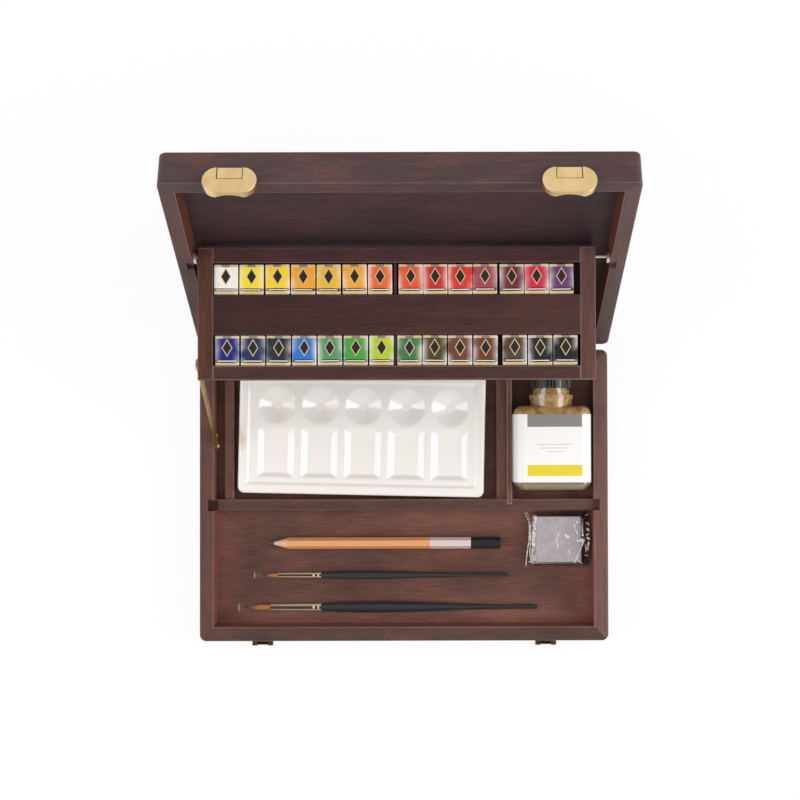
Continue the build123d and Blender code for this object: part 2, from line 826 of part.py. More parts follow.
with BuildPart(Plane.XY.offset(cup_z + cup_wall)) as paint_cakes:
    with Locations(*pan_places):
        Box(
            cup_width - 2 * cup_wall,
            cup_length - 2 * cup_wall,
            cup_height - cup_wall - cake_drop,
            align=on_top,
        )
save(paint_cakes, "paint_cakes")

# Catches: a back plate with a tab on the lid, and a dished flap that hangs on a pin through the tab
with BuildPart() as catch_plates:
    for side in (-1, 1):
        with BuildSketch(catch_plane(side)):
            with Locations((0, tab_centre)):
                RectangleRounded(plate_width, plate_height, plate_round)
        extrude(amount=plate_thickness)
        with BuildSketch(catch_plane(side)):
            with Locations((0, tab_centre)):
                Rectangle(tab_width, tab_height)
        extrude(amount=tab_out)
    front = Axis(catch_plane(1).origin, lid_front_dir)
    fillet(catch_plates.faces().sort_by(front)[-2:].edges(), tab_round)
    with Locations(catch_plane(-1), catch_plane(1)):
        with Locations((0, catch_pin_rise, catch_pin_out)):
            Cylinder(
                catch_pin_radius + fixed_gap,
                2 * tab_width,
                rotation=(0, 90, 0),
                mode=Mode.SUBTRACT,
            )
    screws(catch_screws, fixed_gap, Mode.SUBTRACT)
save(catch_plates, "catch_plates")

cheek_x = tab_width / 2 + tab_gap
with BuildPart() as catch_pins:
    with Locations(catch_plane(-1), catch_plane(1)):
        with Locations((0, catch_pin_rise, catch_pin_out)):
            Cylinder(catch_pin_radius, 2 * (cheek_x + ear_thickness), rotation=(0, 90, 0))
save(catch_pins, "catch_pins")

notch_radius = (flap_notch_width**2 / 4 + flap_notch_sag**2) / (2 * flap_notch_sag)
notch_out = flap_wall_gap + flap_notch_sag - notch_radius
flap_bottom = flap_centre_rise - flap_height / 2
ear_places = [(way * (cheek_x + ear_thickness / 2), catch_pin_rise, catch_pin_out) for way in (-1, 1)]
pin_hole_radius = catch_pin_radius + catch_pin_clearance
for name, side in (("catch_flap_left", -1), ("catch_flap_right", 1)):
    on_lid = catch_plane(side)
    outwards = Axis(on_lid.origin, on_lid.z_dir)
    with BuildPart() as flap:
        with BuildSketch(on_lid.offset(flap_face_out)):
            with Locations((0, flap_centre_rise)):
                SlotOverall(flap_width, flap_height)
        extrude(amount=flap_thickness)
        fillet(flap.faces().sort_by(outwards)[-1].edges(), flap_edge_round)
        with BuildSketch(on_lid.offset(flap_wall_gap)):
            with Locations((0, flap_centre_rise)):
                SlotOverall(flap_width, flap_height)
                SlotOverall(
                    flap_width - 2 * flap_lip_wall,
                    flap_height - 2 * flap_lip_wall,
                    mode=Mode.SUBTRACT,
                )
            with Locations((0, flap_centre_rise)):
                Rectangle(
                    2 * flap_width,
                    flap_height,
                    align=(Align.CENTER, Align.MIN),
                    mode=Mode.SUBTRACT,
                )
        extrude(amount=flap_face_out - flap_wall_gap)
        with Locations(on_lid):
            with Locations((0, flap_bottom, notch_out)):
                Cylinder(notch_radius, 4 * flap_lip_wall, rotation=(90, 0, 0), mode=Mode.SUBTRACT)
            with Locations((0, tab_top - tab_height - tab_gap, 0)):
                Box(
                    2 * cheek_x,
                    flap_height,
                    2 * flap_face_out,
                    align=(Align.CENTER, Align.MIN, Align.MIN),
                    mode=Mode.SUBTRACT,
                )
            with Locations(*ear_places):
                Cylinder(ear_radius, ear_thickness, rotation=(0, 90, 0))
                Box(ear_thickness, 2 * ear_radius, flap_face_out - catch_pin_out, align=on_top)
            with Locations((0, catch_pin_rise, catch_pin_out)):
                Cylinder(pin_hole_radius, flap_width, rotation=(0, 90, 0), mode=Mode.SUBTRACT)
    save(flap, name)

# Palette: a raised rim round a deck with five round and five long wells
turn = radians(palette_turn)
palette_y = (
    divider_back_y + palette_front_gap + palette_depth / 2 + palette_width / 2 * abs(sin(turn))
)
palette_plane = Plane(
    origin=(palette_centre_x, palette_y, floor_z + lying_gap),
    x_dir=(cos(turn), sin(turn), 0),
    z_dir=(0, 0, 1),
)
deck_height = palette_height - palette_deck_drop
round_well_sphere = (round_well_radius**2 + round_well_depth**2) / (2 * round_well_depth)
well_places = [
    (palette_well_shift + (index - (palette_well_count - 1) / 2) * palette_well_pitch)
    for index in range(palette_well_count)
]
with BuildPart(palette_plane) as palette:
    with BuildSketch(palette_plane):
        RectangleRounded(palette_width, palette_depth, palette_corner)
    extrude(amount=palette_height)
    fillet(palette.edges().group_by(Axis.Z)[-1], palette_edge_round)
    with BuildSketch(palette_plane.offset(deck_height)):
        RectangleRounded(
            palette_width - 2 * palette_lip, palette_depth - 2 * palette_lip, palette_corner / 2
        )
    extrude(amount=palette_height, mode=Mode.SUBTRACT)
    fillet(palette.faces().sort_by(Axis.Z)[-1].inner_wires()[0].edges(), palette_lip_round)
    for place in well_places:
        with Locations((place, round_well_offset, deck_height + round_well_sphere - round_well_depth)):
            Sphere(round_well_sphere, mode=Mode.SUBTRACT)
        with BuildSketch(palette_plane.offset(deck_height)):
            with Locations((place, long_well_offset)):
                RectangleRounded(long_well_width, long_well_length, long_well_corner)
        with BuildSketch(palette_plane.offset(deck_height - long_well_depth)):
            with Locations((place, long_well_offset)):
                RectangleRounded(long_well_floor_width, long_well_floor_length, long_well_corner)
        loft(mode=Mode.SUBTRACT)
    deck_z = palette_plane.origin.Z + deck_height
    deck_face = palette.faces().filter_by_position(Axis.Z, deck_z - lying_gap, deck_z + lying_gap)[0]
    for well_wire in deck_face.inner_wires():
        fillet(well_wire.edges(), well_edge_round)
save(palette, "palette")

# Bottle: along its own axis from the base to the neck's end
bottle_y = divider_back_y + bottle_front_gap
bottle_left_x = partition_x + partition_thickness / 2 + bottle_side_gap + label_thickness
bottle_x = bottle_left_x + bottle_width / 2
bottle_z = floor_z + lying_gap + label_thickness + bottle_thickness / 2
bottle_plane = Plane(origin=(bottle_x, bottle_y, bottle_z), x_dir=(1, 0, 0), z_dir=(0, 1, 0))
neck_start = bottle_body_length - glass_wall
ring_start = bottle_body_length + neck_length
collar_start = ring_start + neck_ring_length
finish_start = collar_start + collar_length
finish_end = finish_start + finish_length
neck_steps = (
    (neck_start, ring_start, neck_radius),
    (ring_start, collar_start, neck_ring_radius),
    (collar_start, finish_start, collar_radius),
    (finish_start, finish_end, finish_radius),
)


# The bottle's body, or the space inside it where it is drawn in by a wall
def bottle_body(inset):
    with BuildPart() as body:
        with BuildSketch(bottle_plane.offset(inset)) as section:
            RectangleRounded(
                bottle_width - 2 * inset, bottle_thickness - 2 * inset, bottle_corner - inset
            )
        extrude(section.sketch, amount=bottle_body_length - 2 * inset)
        chamfer(body.faces().sort_by(Axis.Y)[0].edges(), bottle_chamfer - inset / 2)
        fillet(body.faces().sort_by(Axis.Y)[-1].edges(), bottle_shoulder_round - inset / 2)
    return body.part


outer_body = bottle_body(0)
inner_body = bottle_body(glass_wall)
liquid_body = bottle_body(glass_wall + liquid_gap)
with BuildPart() as bottle_glass:
    add(outer_body)
    for start, end, radius in neck_steps:
        with Locations(bottle_plane.offset(start)):
            Cylinder(radius, end - start, align=on_top)
    add(inner_body, mode=Mode.SUBTRACT)
    with Locations(bottle_plane.offset(neck_start - glass_wall)):
        Cylinder(bottle_bore_radius, finish_end, align=on_top, mode=Mode.SUBTRACT)
save(bottle_glass, "bottle_glass")

liquid_top_z = bottle_z + bottle_thickness / 2 - glass_wall - air_depth
with BuildPart() as bottle_liquid:
    add(liquid_body)
    with Locations(bottle_plane.offset(neck_start - glass_wall)):
        Cylinder(
            bottle_bore_radius - liquid_gap,
            finish_end - liner_thickness - neck_start + glass_wall,
            align=on_top,
        )
    split(bisect_by=Plane.XY.offset(liquid_top_z), keep=Keep.BOTTOM)
save(bottle_liquid, "bottle_liquid")

with BuildPart() as bottle_label:
    with BuildSketch(bottle_plane.offset(label_start)):
        RectangleRounded(
            bottle_width + 2 * label_thickness,
            bottle_thickness + 2 * label_thickness,
            bottle_corner + label_thickness,
        )
        RectangleRounded(bottle_width, bottle_thickness, bottle_corner, mode=Mode.SUBTRACT)
    extrude(amount=label_length)
save(bottle_label, "bottle_label")

# Screw cap with its liner. The liner rises with the cap without turning.
liner_start = finish_end + liner_gap
cap_start = finish_start + cap_start_gap
cap_length = liner_start + liner_thickness + liner_gap + cap_wall - cap_start
with BuildPart(bottle_plane.offset(liner_start)) as cap_liner:
    Cylinder(cap_radius - cap_wall - liner_gap, liner_thickness, align=on_top)
save(cap_liner, "cap_liner")

with BuildPart(bottle_plane.offset(cap_start)) as bottle_cap:
    Cylinder(cap_radius - cap_rib_radius, cap_length, align=on_top)
    chamfer(bottle_cap.edges().group_by(Axis.Y)[-1], cap_edge_chamfer)
    with PolarLocations(cap_radius - cap_rib_radius, cap_rib_count):
        Cylinder(cap_rib_radius, cap_length - cap_rib_end_gap, align=on_top)
    Cylinder(cap_radius - cap_wall, cap_length - cap_wall, align=on_top, mode=Mode.SUBTRACT)
save(bottle_cap, "bottle_cap")

# Kneadable eraser in a sealed clear film with two fins
film_z = floor_z + lying_gap
film_y = eraser_side + 2 * (film_gap + film_thickness)
film_x = film_y + 2 * film_slack_x
film_height = eraser_height + 2 * (film_gap + film_thickness)
with BuildPart() as eraser_block:
    with BuildSketch(Plane.XY.offset(film_z + film_thickness + film_gap)):
        with Locations((eraser_x, eraser_y)):
            RectangleRounded(eraser_side, eraser_side, eraser_round)
    extrude(amount=eraser_height)
    fillet(eraser_block.faces().filter_by(Axis.Z).edges(), eraser_edge_round)
save(eraser_block, "eraser_block")


# The film, or the space inside it where it is drawn in by its thickness
def film_bag(inset):
    with BuildPart() as bag:
        with BuildSketch(Plane.XY.offset(film_z + inset)):
            with Locations((eraser_x, eraser_y)):
                RectangleRounded(film_x - 2 * inset, film_y - 2 * inset, film_round - inset)
        extrude(amount=film_height - 2 * inset)
        fillet(bag.faces().filter_by(Axis.Z).edges(), film_edge_round - inset)
    return bag.part


film_inner = film_bag(film_thickness)
film_outer = film_bag(0)
with BuildPart() as eraser_film:
    add(film_outer)
    for side, fin in ((-1, film_fin_left), (1, film_fin_right)):
        fin_x = eraser_x + side * (film_x - film_thickness + fin) / 2
        with Locations((fin_x, eraser_y, film_z + film_fin_height)):
            Box(film_thickness + fin, film_fin_depth, film_seal)
    add(film_inner, mode=Mode.SUBTRACT)
save(eraser_film, "eraser_film")


# Long things lie along X. The profile plane's x runs from the tip, its y outwards from the axis.
def profile_plane(tip_x, y, radius):
    return Plane(origin=(tip_x, y, floor_z + lying_gap + radius), x_dir=(1, 0, 0), z_dir=(0, -1, 0))


pencil_plane = profile_plane(pencil_tip_x, pencil_y, pencil_flats / 2)
pencil_axis = Axis(pencil_plane.origin, (1, 0, 0))
bare_end = Plane(
    origin=pencil_plane.from_local_coords(Vector(lead_bare, 0, 0)),
    x_dir=(0, 1, 0),
    z_dir=(1, 0, 0),
)
pencil_corner = pencil_flats / sqrt(3)
with BuildPart() as pencil_barrel:
    with BuildSketch(bare_end):
        RegularPolygon(pencil_flats / 2, 6, major_radius=False)
        Circle(lead_radius + fixed_gap, mode=Mode.SUBTRACT)
    extrude(amount=pencil_length - lead_bare)
    with BuildSketch(pencil_plane):
        Polygon(
            (lead_bare, lead_radius + pencil_wood_edge),
            (pencil_cone_start, pencil_corner),
            (pencil_cone_start, 2 * pencil_corner),
            (0, 2 * pencil_corner),
            (0, lead_radius + pencil_wood_edge),
            align=None,
        )
    revolve(axis=pencil_axis, mode=Mode.SUBTRACT)
save(pencil_barrel, "pencil_barrel")

with BuildPart() as pencil_lead:
    with BuildSketch(pencil_plane):
        Polygon(
            (0, 0),
            (0, lead_point_radius),
            (lead_bare, lead_radius),
            (pencil_length, lead_radius),
            (pencil_length, 0),
            align=None,
        )
    revolve(axis=pencil_axis)
save(pencil_lead, "pencil_lead")


# One bristle of three sides. All bristles keep their place in the tuft's section, so none cross.
def bristle(plane, index, stations):
    share = bristle_spread * sqrt((index + 0.5) / bristle_count)
    angle = index * golden_angle
    rings = []
    for along, radius in stations:
        centre_y = share * radius * cos(angle)
        centre_z = share * radius * sin(angle)
        corners = []
        for corner in range(3):
            corner_angle = angle + corner * 2 * pi / 3
            out_y = centre_y + bristle_size_share * radius * cos(corner_angle)
            out_z = centre_z + bristle_size_share * radius * sin(corner_angle)
            corners.append(plane.from_local_coords(Vector(along, out_y, out_z)))
        rings.append(Wire.make_polygon(corners))
    return Solid.make_loft(rings, ruled=True)


golden_angle = pi * (3 - sqrt(5))
for name, sizes in (("small_brush", small_brush), ("large_brush", large_brush)):
    plane = profile_plane(sizes["tip_x"], sizes["y"], sizes["handle_radius"])
    axis = Axis(plane.origin, (1, 0, 0))
    ferrule_start = sizes["tuft_length"]
    ferrule_end = ferrule_start + sizes["ferrule_length"]
    handle_end = ferrule_end + sizes["handle_length"]
    bore = sizes["ferrule_front"] - ferrule_wall

    # Turned and lacquered handle with a tenon in the ferrule
    swell_x = ferrule_end + handle_swell_share * sizes["handle_length"]
    waist_x = ferrule_end + handle_waist_share * sizes["handle_length"]
    round_x = handle_end - sizes["handle_end"]
    with BuildPart() as handle:
        with BuildSketch(plane):
            with BuildLine():
                Polyline(
                    (round_x, 0),
                    (ferrule_end - tenon_length, 0),
                    (ferrule_end - tenon_length, bore - fixed_gap),
                    (ferrule_end, bore - fixed_gap),
                    (ferrule_end, sizes["ferrule_back"]),
                )
                Spline(
                    (ferrule_end, sizes["ferrule_back"]),
                    (swell_x, sizes["handle_radius"]),
                    (waist_x, handle_waist_radius_share * sizes["handle_radius"]),
                    (round_x, sizes["handle_end"]),
                )
                CenterArc((round_x, 0), sizes["handle_end"], 0, 90)
                Line((handle_end, 0), (round_x, 0))
            make_face()
        revolve(axis=axis)
    save(handle, f"{name}_handle")

    # Ferrule with rings pressed in beside the handle
    slope = (sizes["ferrule_back"] - sizes["ferrule_front"]) / sizes["ferrule_length"]
    with BuildPart() as ferrule:
        with BuildSketch(plane):
            Polygon(
                (ferrule_start, bore),
                (ferrule_start, sizes["ferrule_front"]),
                (ferrule_end, sizes["ferrule_back"]),
                (ferrule_end, bore),
                align=None,
            )
            for crimp in range(crimp_count):
                crimp_x = ferrule_end - crimp_from_handle - crimp * crimp_pitch
                outside = sizes["ferrule_back"] - slope * (ferrule_end - crimp_x)
                with Locations((crimp_x, outside + crimp_radius - crimp_depth)):
                    Circle(crimp_radius, mode=Mode.SUBTRACT)
        revolve(axis=axis)
    save(ferrule, f"{name}_ferrule")

    # Tuft: bristles that swell to a belly and close to a point, on a round backing
    tip_radius = bristle_tip_radius_share * sizes["belly_radius"]
    belly_x = bristle_belly_share * ferrule_start
    strands = []
    for index in range(bristle_count):
        end_x = bristle_end_share * ferrule_start * index / bristle_count
        end_radius = tip_radius + (sizes["belly_radius"] - tip_radius) * end_x / belly_x
        stations = (
            (ferrule_start + bristle_root_overlap, sizes["tuft_radius"]),
            (belly_x, sizes["belly_radius"]),
            (end_x, end_radius),
        )
        strands.append(bristle(plane, index, stations))
    backing_plane = Plane(
        origin=plane.from_local_coords(Vector(ferrule_start, 0, 0)), x_dir=(0, 1, 0), z_dir=(1, 0, 0)
    )
    with BuildPart() as tuft:
        with Locations(backing_plane):
            Cylinder(bore - fixed_gap, tuft_backing, align=on_top)
        add(strands)
    save(tuft, f"{name}_tuft")

    # Clear sleeve pushed over the tuft and the ferrule's front, with a flared rim
    sleeve_x = -sizes["sleeve_past_tip"]
    sleeve_end = sleeve_x + sizes["sleeve_length"]
    outer = sizes["sleeve_radius"]
    with BuildPart() as sleeve:
        with BuildSketch(plane):
            Polygon(
                (sleeve_x, outer + sleeve_flare - sleeve_wall),
                (sleeve_x, outer + sleeve_flare),
                (sleeve_x + sleeve_flare_length, outer),
                (sleeve_end, outer),
                (sleeve_end, outer - sleeve_wall),
                (sleeve_x + sleeve_flare_length, outer - sleeve_wall),
                align=None,
            )
        revolve(axis=axis)
    save(sleeve, f"{name}_sleeve")
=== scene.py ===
import math
import random

import bmesh
import bpy
from mathutils import Matrix, Vector, noise


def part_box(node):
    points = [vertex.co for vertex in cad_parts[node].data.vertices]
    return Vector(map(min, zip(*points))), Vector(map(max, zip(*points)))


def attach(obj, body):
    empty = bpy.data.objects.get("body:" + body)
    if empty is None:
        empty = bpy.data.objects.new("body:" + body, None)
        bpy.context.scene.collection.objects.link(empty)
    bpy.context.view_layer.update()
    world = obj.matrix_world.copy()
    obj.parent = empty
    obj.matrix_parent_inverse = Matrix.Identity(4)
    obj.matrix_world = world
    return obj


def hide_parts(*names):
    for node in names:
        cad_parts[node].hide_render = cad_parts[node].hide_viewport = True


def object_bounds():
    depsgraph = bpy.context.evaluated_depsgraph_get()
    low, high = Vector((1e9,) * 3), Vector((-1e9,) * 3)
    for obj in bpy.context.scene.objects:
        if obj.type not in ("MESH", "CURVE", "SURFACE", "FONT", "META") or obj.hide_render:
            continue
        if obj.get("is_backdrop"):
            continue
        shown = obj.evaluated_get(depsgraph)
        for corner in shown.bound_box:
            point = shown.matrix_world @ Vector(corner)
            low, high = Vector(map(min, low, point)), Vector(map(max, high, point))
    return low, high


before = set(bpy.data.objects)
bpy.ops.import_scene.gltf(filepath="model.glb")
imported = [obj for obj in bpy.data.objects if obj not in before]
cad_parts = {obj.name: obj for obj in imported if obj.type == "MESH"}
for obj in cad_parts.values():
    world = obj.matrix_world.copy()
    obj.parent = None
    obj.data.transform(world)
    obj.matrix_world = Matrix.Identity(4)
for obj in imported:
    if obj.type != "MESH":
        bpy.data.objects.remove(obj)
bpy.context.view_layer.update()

# The box: eight mitred walls of stained hardwood, four round the base and four round the lid, glued
# at the corners and sanded round. The stain is a dark red brown, rubbed thin on the edges, which
# are also painted paler as highlight; inner faces are painted lighter as painted light, right-hand
# walls as painted sheen.
lid_lean = math.radians(115)


def hue(code, gain=1.0):
    """A colour written as on a paint card, in the renderer's own linear values."""
    colour = []
    for at in (1, 3, 5):
        part = int(code[at:at + 2], 16) / 255
        colour.append(gain * (((part + 0.055) / 1.055) ** 2.4 if part > 0.04045 else part / 12.92))
    return (*colour, 1.0)


class Shade:
    """A shader socket that + - * > < and abs work on as they do on numbers."""

    def __init__(self, tree, socket=None):
        self.tree = tree
        self.socket = socket

    def node(self, kind, settings=None, inputs=None, output=0):
        """Adds a node of any kind and gives one of its outputs."""
        made = self.tree.nodes.new("ShaderNode" + kind)
        for name, value in (settings or {}).items():
            setattr(made, name, value)
        for name, value in (inputs or {}).items():
            if isinstance(value, Shade):
                self.tree.links.new(value.socket, made.inputs[name])
            else:
                made.inputs[name].default_value = value
        return Shade(self.tree, made.outputs[output])

    def also(self, output):
        """Another output of the same node."""
        return Shade(self.tree, self.socket.node.outputs[output])

    def combine(self, operation, first, second):
        return self.node("Math", {"operation": operation}, {0: first, 1: second})

    def __add__(self, other):
        return self.combine("ADD", self, other)

    def __radd__(self, other):
        return self.combine("ADD", other, self)

    def __sub__(self, other):
        return self.combine("SUBTRACT", self, other)

    def __rsub__(self, other):
        return self.combine("SUBTRACT", other, self)

    def __mul__(self, other):
        return self.combine("MULTIPLY", self, other)

    def __rmul__(self, other):
        return self.combine("MULTIPLY", other, self)

    def __gt__(self, other):
        return self.combine("GREATER_THAN", self, other)

    def __lt__(self, other):
        return self.combine("LESS_THAN", self, other)

    def __abs__(self):
        return self.node("Math", {"operation": "ABSOLUTE"}, {0: self})


def new_material(name):
    material = bpy.data.materials.new(name)
    material.use_nodes = True
    return material, Shade(material.node_tree)


def set_shader(material, **sockets):
    """Sets or links the shader's sockets. A name's underscores stand for spaces."""
    shader = material.node_tree.nodes["Principled BSDF"]
    for name, value in sockets.items():
        socket = shader.inputs[name.replace("_", " ")]
        if isinstance(value, Shade):
            material.node_tree.links.new(value.socket, socket)
        else:
            socket.default_value = value


def mix(make, amount, first, second, blend="MIX"):
    settings = {"data_type": "RGBA", "blend_type": blend}
    return make.node("Mix", settings, {0: amount, 6: first, 7: second}, output=2)


def between(value, low, high):
    """0 at low, 1 at high and even steps between. Low may be the larger of the two."""
    inputs = {"Value": value, "From Min": low, "From Max": high}
    return value.node("MapRange", {"clamp": True}, inputs)


def spread(noise_value):
    """Noise, which seldom leaves 0.3 to 0.7, drawn out to run from 0 to 1."""
    return between(noise_value, 0.3, 0.7)


def larger(first, second):
    return first.combine("MAXIMUM", first, second)


def smaller(first, second):
    return first.combine("MINIMUM", first, second)


def axes(vector):
    """The vector's three numbers."""
    x = vector.node("SeparateXYZ", inputs={0: vector})
    return x, x.also(1), x.also(2)


def own_place(make):
    """The shaded spot on the piece, in metres."""
    return make.node("TexCoord", output="Object")


def fuzz(make, place, scale, detail=3.0, roughness=0.55):
    return make.node(
        "TexNoise",
        inputs={"Vector": place, "Scale": scale, "Detail": detail, "Roughness": roughness},
    )


def darkened(make, colour, amount):
    """The colour times a number that changes over the surface."""
    grey = make.node("CombineColor", inputs={0: amount, 1: amount, 2: amount})
    return mix(make, 1.0, colour, grey, "MULTIPLY")


def bump(make, height, strength, distance):
    return make.node("Bump", inputs={"Height": height, "Strength": strength, "Distance": distance})


def level_box(name, lean):
    """The node's middle and half size once it is turned level by lean."""
    turn = Matrix.Rotation(lean, 3, "X")
    spots = [turn @ vert.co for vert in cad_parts[name].data.vertices]
    low = Vector([min(spot[axis] for spot in spots) for axis in range(3)])
    high = Vector([max(spot[axis] for spot in spots) for axis in range(3)])
    return (low + high) / 2, (high - low) / 2


def dress(material, *names):
    for name in names:
        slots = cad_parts[name].data.materials
        slots.clear()
        slots.append(material)


cloud_stretch = 0.45
blush_share = 0.3
grain_floor = 0.62
fibre_share = 0.45
speckle_share = 0.3
lit_face_depth = {"low": 0.0012, "high": 0.0005}
lit_face_margin = {"low": 0.0003, "high": 0.0014}
worn_and_highlit_reach = {"low": 0.0008, "high": 0.0002}
worn_and_highlit_colour = "#a08480"


def stain_wood(
    name,
    stretch,
    stain_and_sheen,
    lean=0.0,
    mottle=0.5,
    contrast=0.2,
    red="#7a3f2c",
    edge_wear_and_highlight=0.35,
    lit_inner_face=None,
    uneven=None,
    gloss=0.3,
):
    """Stains one board. Its fibres run along the axis that stretch holds small; its edges are
    painted paler by the edge share, partly as rubbed wear and partly as painted highlight; and the
    inner face entry gives the axis, side and colour of a face inside the box, painted lighter as
    painted light.
    uneven makes a factor of the colour from the place and the distances to the two sides."""
    material, make = new_material(f"{name}_stained")
    level = make.node("Mapping", inputs={"Vector": own_place(make), "Rotation": (lean, 0, 0)})
    drawn = make.node("Mapping", inputs={"Vector": level, "Scale": stretch})
    half_drawn = [cloud_stretch + (1 - cloud_stretch) * share for share in stretch]
    soft = make.node("Mapping", inputs={"Vector": level, "Scale": half_drawn})
    cloud = fuzz(make, soft, scale=30.0, detail=4.0)
    blush = fuzz(make, soft, scale=60.0, detail=4.0)
    streaks = fuzz(make, drawn, scale=150.0, detail=5.0, roughness=0.6)
    fibres = fuzz(make, drawn, scale=700.0, detail=3.0, roughness=0.7)
    speckle = fuzz(make, level, scale=900.0, detail=2.0, roughness=0.6)
    middle, half = level_box(name, lean)
    from_middle = make.node("VectorMath", {"operation": "SUBTRACT"}, {0: level, 1: middle})
    away = make.node("VectorMath", {"operation": "ABSOLUTE"}, {0: from_middle})
    to_sides = make.node("VectorMath", {"operation": "SUBTRACT"}, {0: half, 1: away})
    side_x, side_y, side_z = axes(to_sides)
    nearest = smaller(smaller(side_x, side_y), side_z)
    to_edge = side_x + side_y + side_z - nearest - larger(larger(side_x, side_y), side_z)
    tone = spread(streaks) * (1 - mottle) + spread(cloud) * mottle
    colour = mix(make, tone, hue(stain_and_sheen, 1 - contrast), hue(stain_and_sheen, 1 + contrast))
    # A face inside the box is painted lighter and redder: painted light for the light it catches.
    if lit_inner_face:
        axis, side, inner_lit_colour = lit_inner_face
        reach = axes(from_middle)[axis] * side
        face = between(reach, half[axis] - lit_face_depth["low"], half[axis] - lit_face_depth["high"])
        face = face * between(to_edge, **lit_face_margin)
        lit_inner_colour = mix(make, tone, hue(inner_lit_colour, 1 - contrast), hue(inner_lit_colour, 1 + contrast))
        colour = mix(make, face, colour, lit_inner_colour)
    colour = mix(make, between(blush, 0.5, 0.75) * blush_share, colour, hue(red))
    if uneven:
        colour = darkened(make, colour, uneven(level, side_x, side_y))
    grain = fibre_share * spread(fibres) + speckle_share * spread(speckle)
    colour = darkened(make, colour, grain_floor + grain)
    # The edges are painted paler: partly the stain rubbed thin, partly a painted highlight on each
    # rounded edge.
    worn_and_highlit_edge = between(to_edge, **worn_and_highlit_reach) * edge_wear_and_highlight * (0.3 + 0.9 * cloud)
    colour = mix(make, worn_and_highlit_edge, colour, hue(worn_and_highlit_colour))
    set_shader(
        material,
        Base_Color=colour,
        Roughness=0.56 - 0.12 * streaks,
        Specular_IOR_Level=gloss,
        Normal=bump(make, fibres * 0.7 + speckle * 0.3, strength=0.3, distance=0.00012),
    )
    dress(material, name)


along_x = (0.08, 1.0, 1.0)
along_y = (1.0, 0.08, 1.0)
# The inner reds are painted light for the faces inside the base and the lid.
inner_lit_red = "#8a5444"
lid_inner_lit_red = "#6a3c2e"
# Each wall's stain also holds painted sheen: the right-hand walls of the base and the lid are
# painted paler for the sheen the side lamps raise along their grain.
stain_wood("base_wall_front", along_x, "#523832", lit_inner_face=(1, 1, inner_lit_red))
stain_wood("base_wall_back", along_x, "#513733", lit_inner_face=(1, -1, inner_lit_red))
stain_wood("base_wall_left", along_y, "#5b3d35", lit_inner_face=(0, 1, inner_lit_red))
stain_wood("base_wall_right", along_y, "#6e4e48", lit_inner_face=(0, -1, inner_lit_red))
stain_wood("lid_wall_front", along_x, "#4f3b3c", lid_lean, lit_inner_face=(1, 1, lid_inner_lit_red))
stain_wood("lid_wall_back", along_x, "#4d3936", lid_lean, lit_inner_face=(1, -1, lid_inner_lit_red))
stain_wood("lid_wall_left", along_y, "#523b37", lid_lean, lit_inner_face=(0, 1, lid_inner_lit_red))
stain_wood("lid_wall_right", along_y, "#5d4743", lid_lean, lit_inner_face=(0, -1, lid_inner_lit_red))

# The two panels: thin plywood let into rebates in the walls, stained like them, but redder and
# more blotched where the open face took up the stain unevenly. The base panel is also painted
# lighter beside the walls and the divider, as painted light.
divider_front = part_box("long_divider")[0].y
floor_middle_level = 0.72
lit_beside_boards = 0.5
divider_lit_share = 0.45
wall_reach = {"low": 0.030, "high": 0.012}
divider_reach = {"low": -0.026, "high": -0.008}


def panel_painted_light(level, side_x, side_y):
    """Painted light: the floor is painted lighter beside the walls and the divider than in the
    middle of each open floor.
    """
    by_wall = between(smaller(side_x, side_y), **wall_reach)
    by_divider = between(axes(level)[1] - divider_front, **divider_reach)
    return floor_middle_level + lit_beside_boards * larger(by_wall, by_divider * divider_lit_share)


stain_wood(
    "base_panel",
    along_x,
    "#694338",
    mottle=0.75,
    contrast=0.26,
    red="#96543c",
    edge_wear_and_highlight=0.0,
    uneven=panel_painted_light,
)
stain_wood("lid_panel", along_x, "#483538", lid_lean, mottle=0.6, red="#663a32", edge_wear_and_highlight=0.0)

# The dividers: a thick board across the base with its ends in the side walls, a thin bottle
# partition housed in it, and two low rails glued down beside the palette.
divider_mottle = 0.4


def paler_rightwards(at_left, at_right, start_x, end_x):
    """A factor for a board's colour that goes from at_left to at_right, start_x to end_x."""

    def factor(level, side_x, side_y):
        return at_left + (at_right - at_left) * between(axes(level)[0], start_x, end_x)

    return factor


# The divider's back face is painted lighter, as painted light.
stain_wood(
    "long_divider",
    along_x,
    "#523730",
    mottle=divider_mottle,
    lit_inner_face=(1, 1, "#9a6354"),
    uneven=paler_rightwards(0.98, 1.22, start_x=0.06, end_x=0.12),
)
stain_wood("bottle_partition", along_y, "#6b463c", mottle=divider_mottle, edge_wear_and_highlight=0.9)
for side in ("left", "right"):
    stain_wood(f"palette_rail_{side}", along_y, "#704c41", mottle=divider_mottle)

# The hinges, screws and lift arm: rolled and turned brass, tumbled to a satin and lacquered. The
# hinge leaves are screwed to the two back walls. The arm turns on a pin in the left wall.
fine_grit = 1700.0
coarse_grit = 900.0


def metal(name, dark, light, roughness=0.3, grit_scale=fine_grit):
    """A tumbled metal whose colour drifts between dark and light."""
    material, make = new_material(name)
    place = own_place(make)
    cloud = fuzz(make, place, scale=90.0)
    grit = fuzz(make, place, grit_scale, detail=2.0)
    set_shader(
        material,
        Base_Color=mix(make, spread(cloud), hue(dark), hue(light)),
        Metallic=1.0,
        Roughness=roughness + 0.12 * cloud,
        Normal=bump(make, grit, strength=0.12, distance=0.00004),
    )
    return material


brass = metal("satin_brass", "#b0904f", "#cfb071")
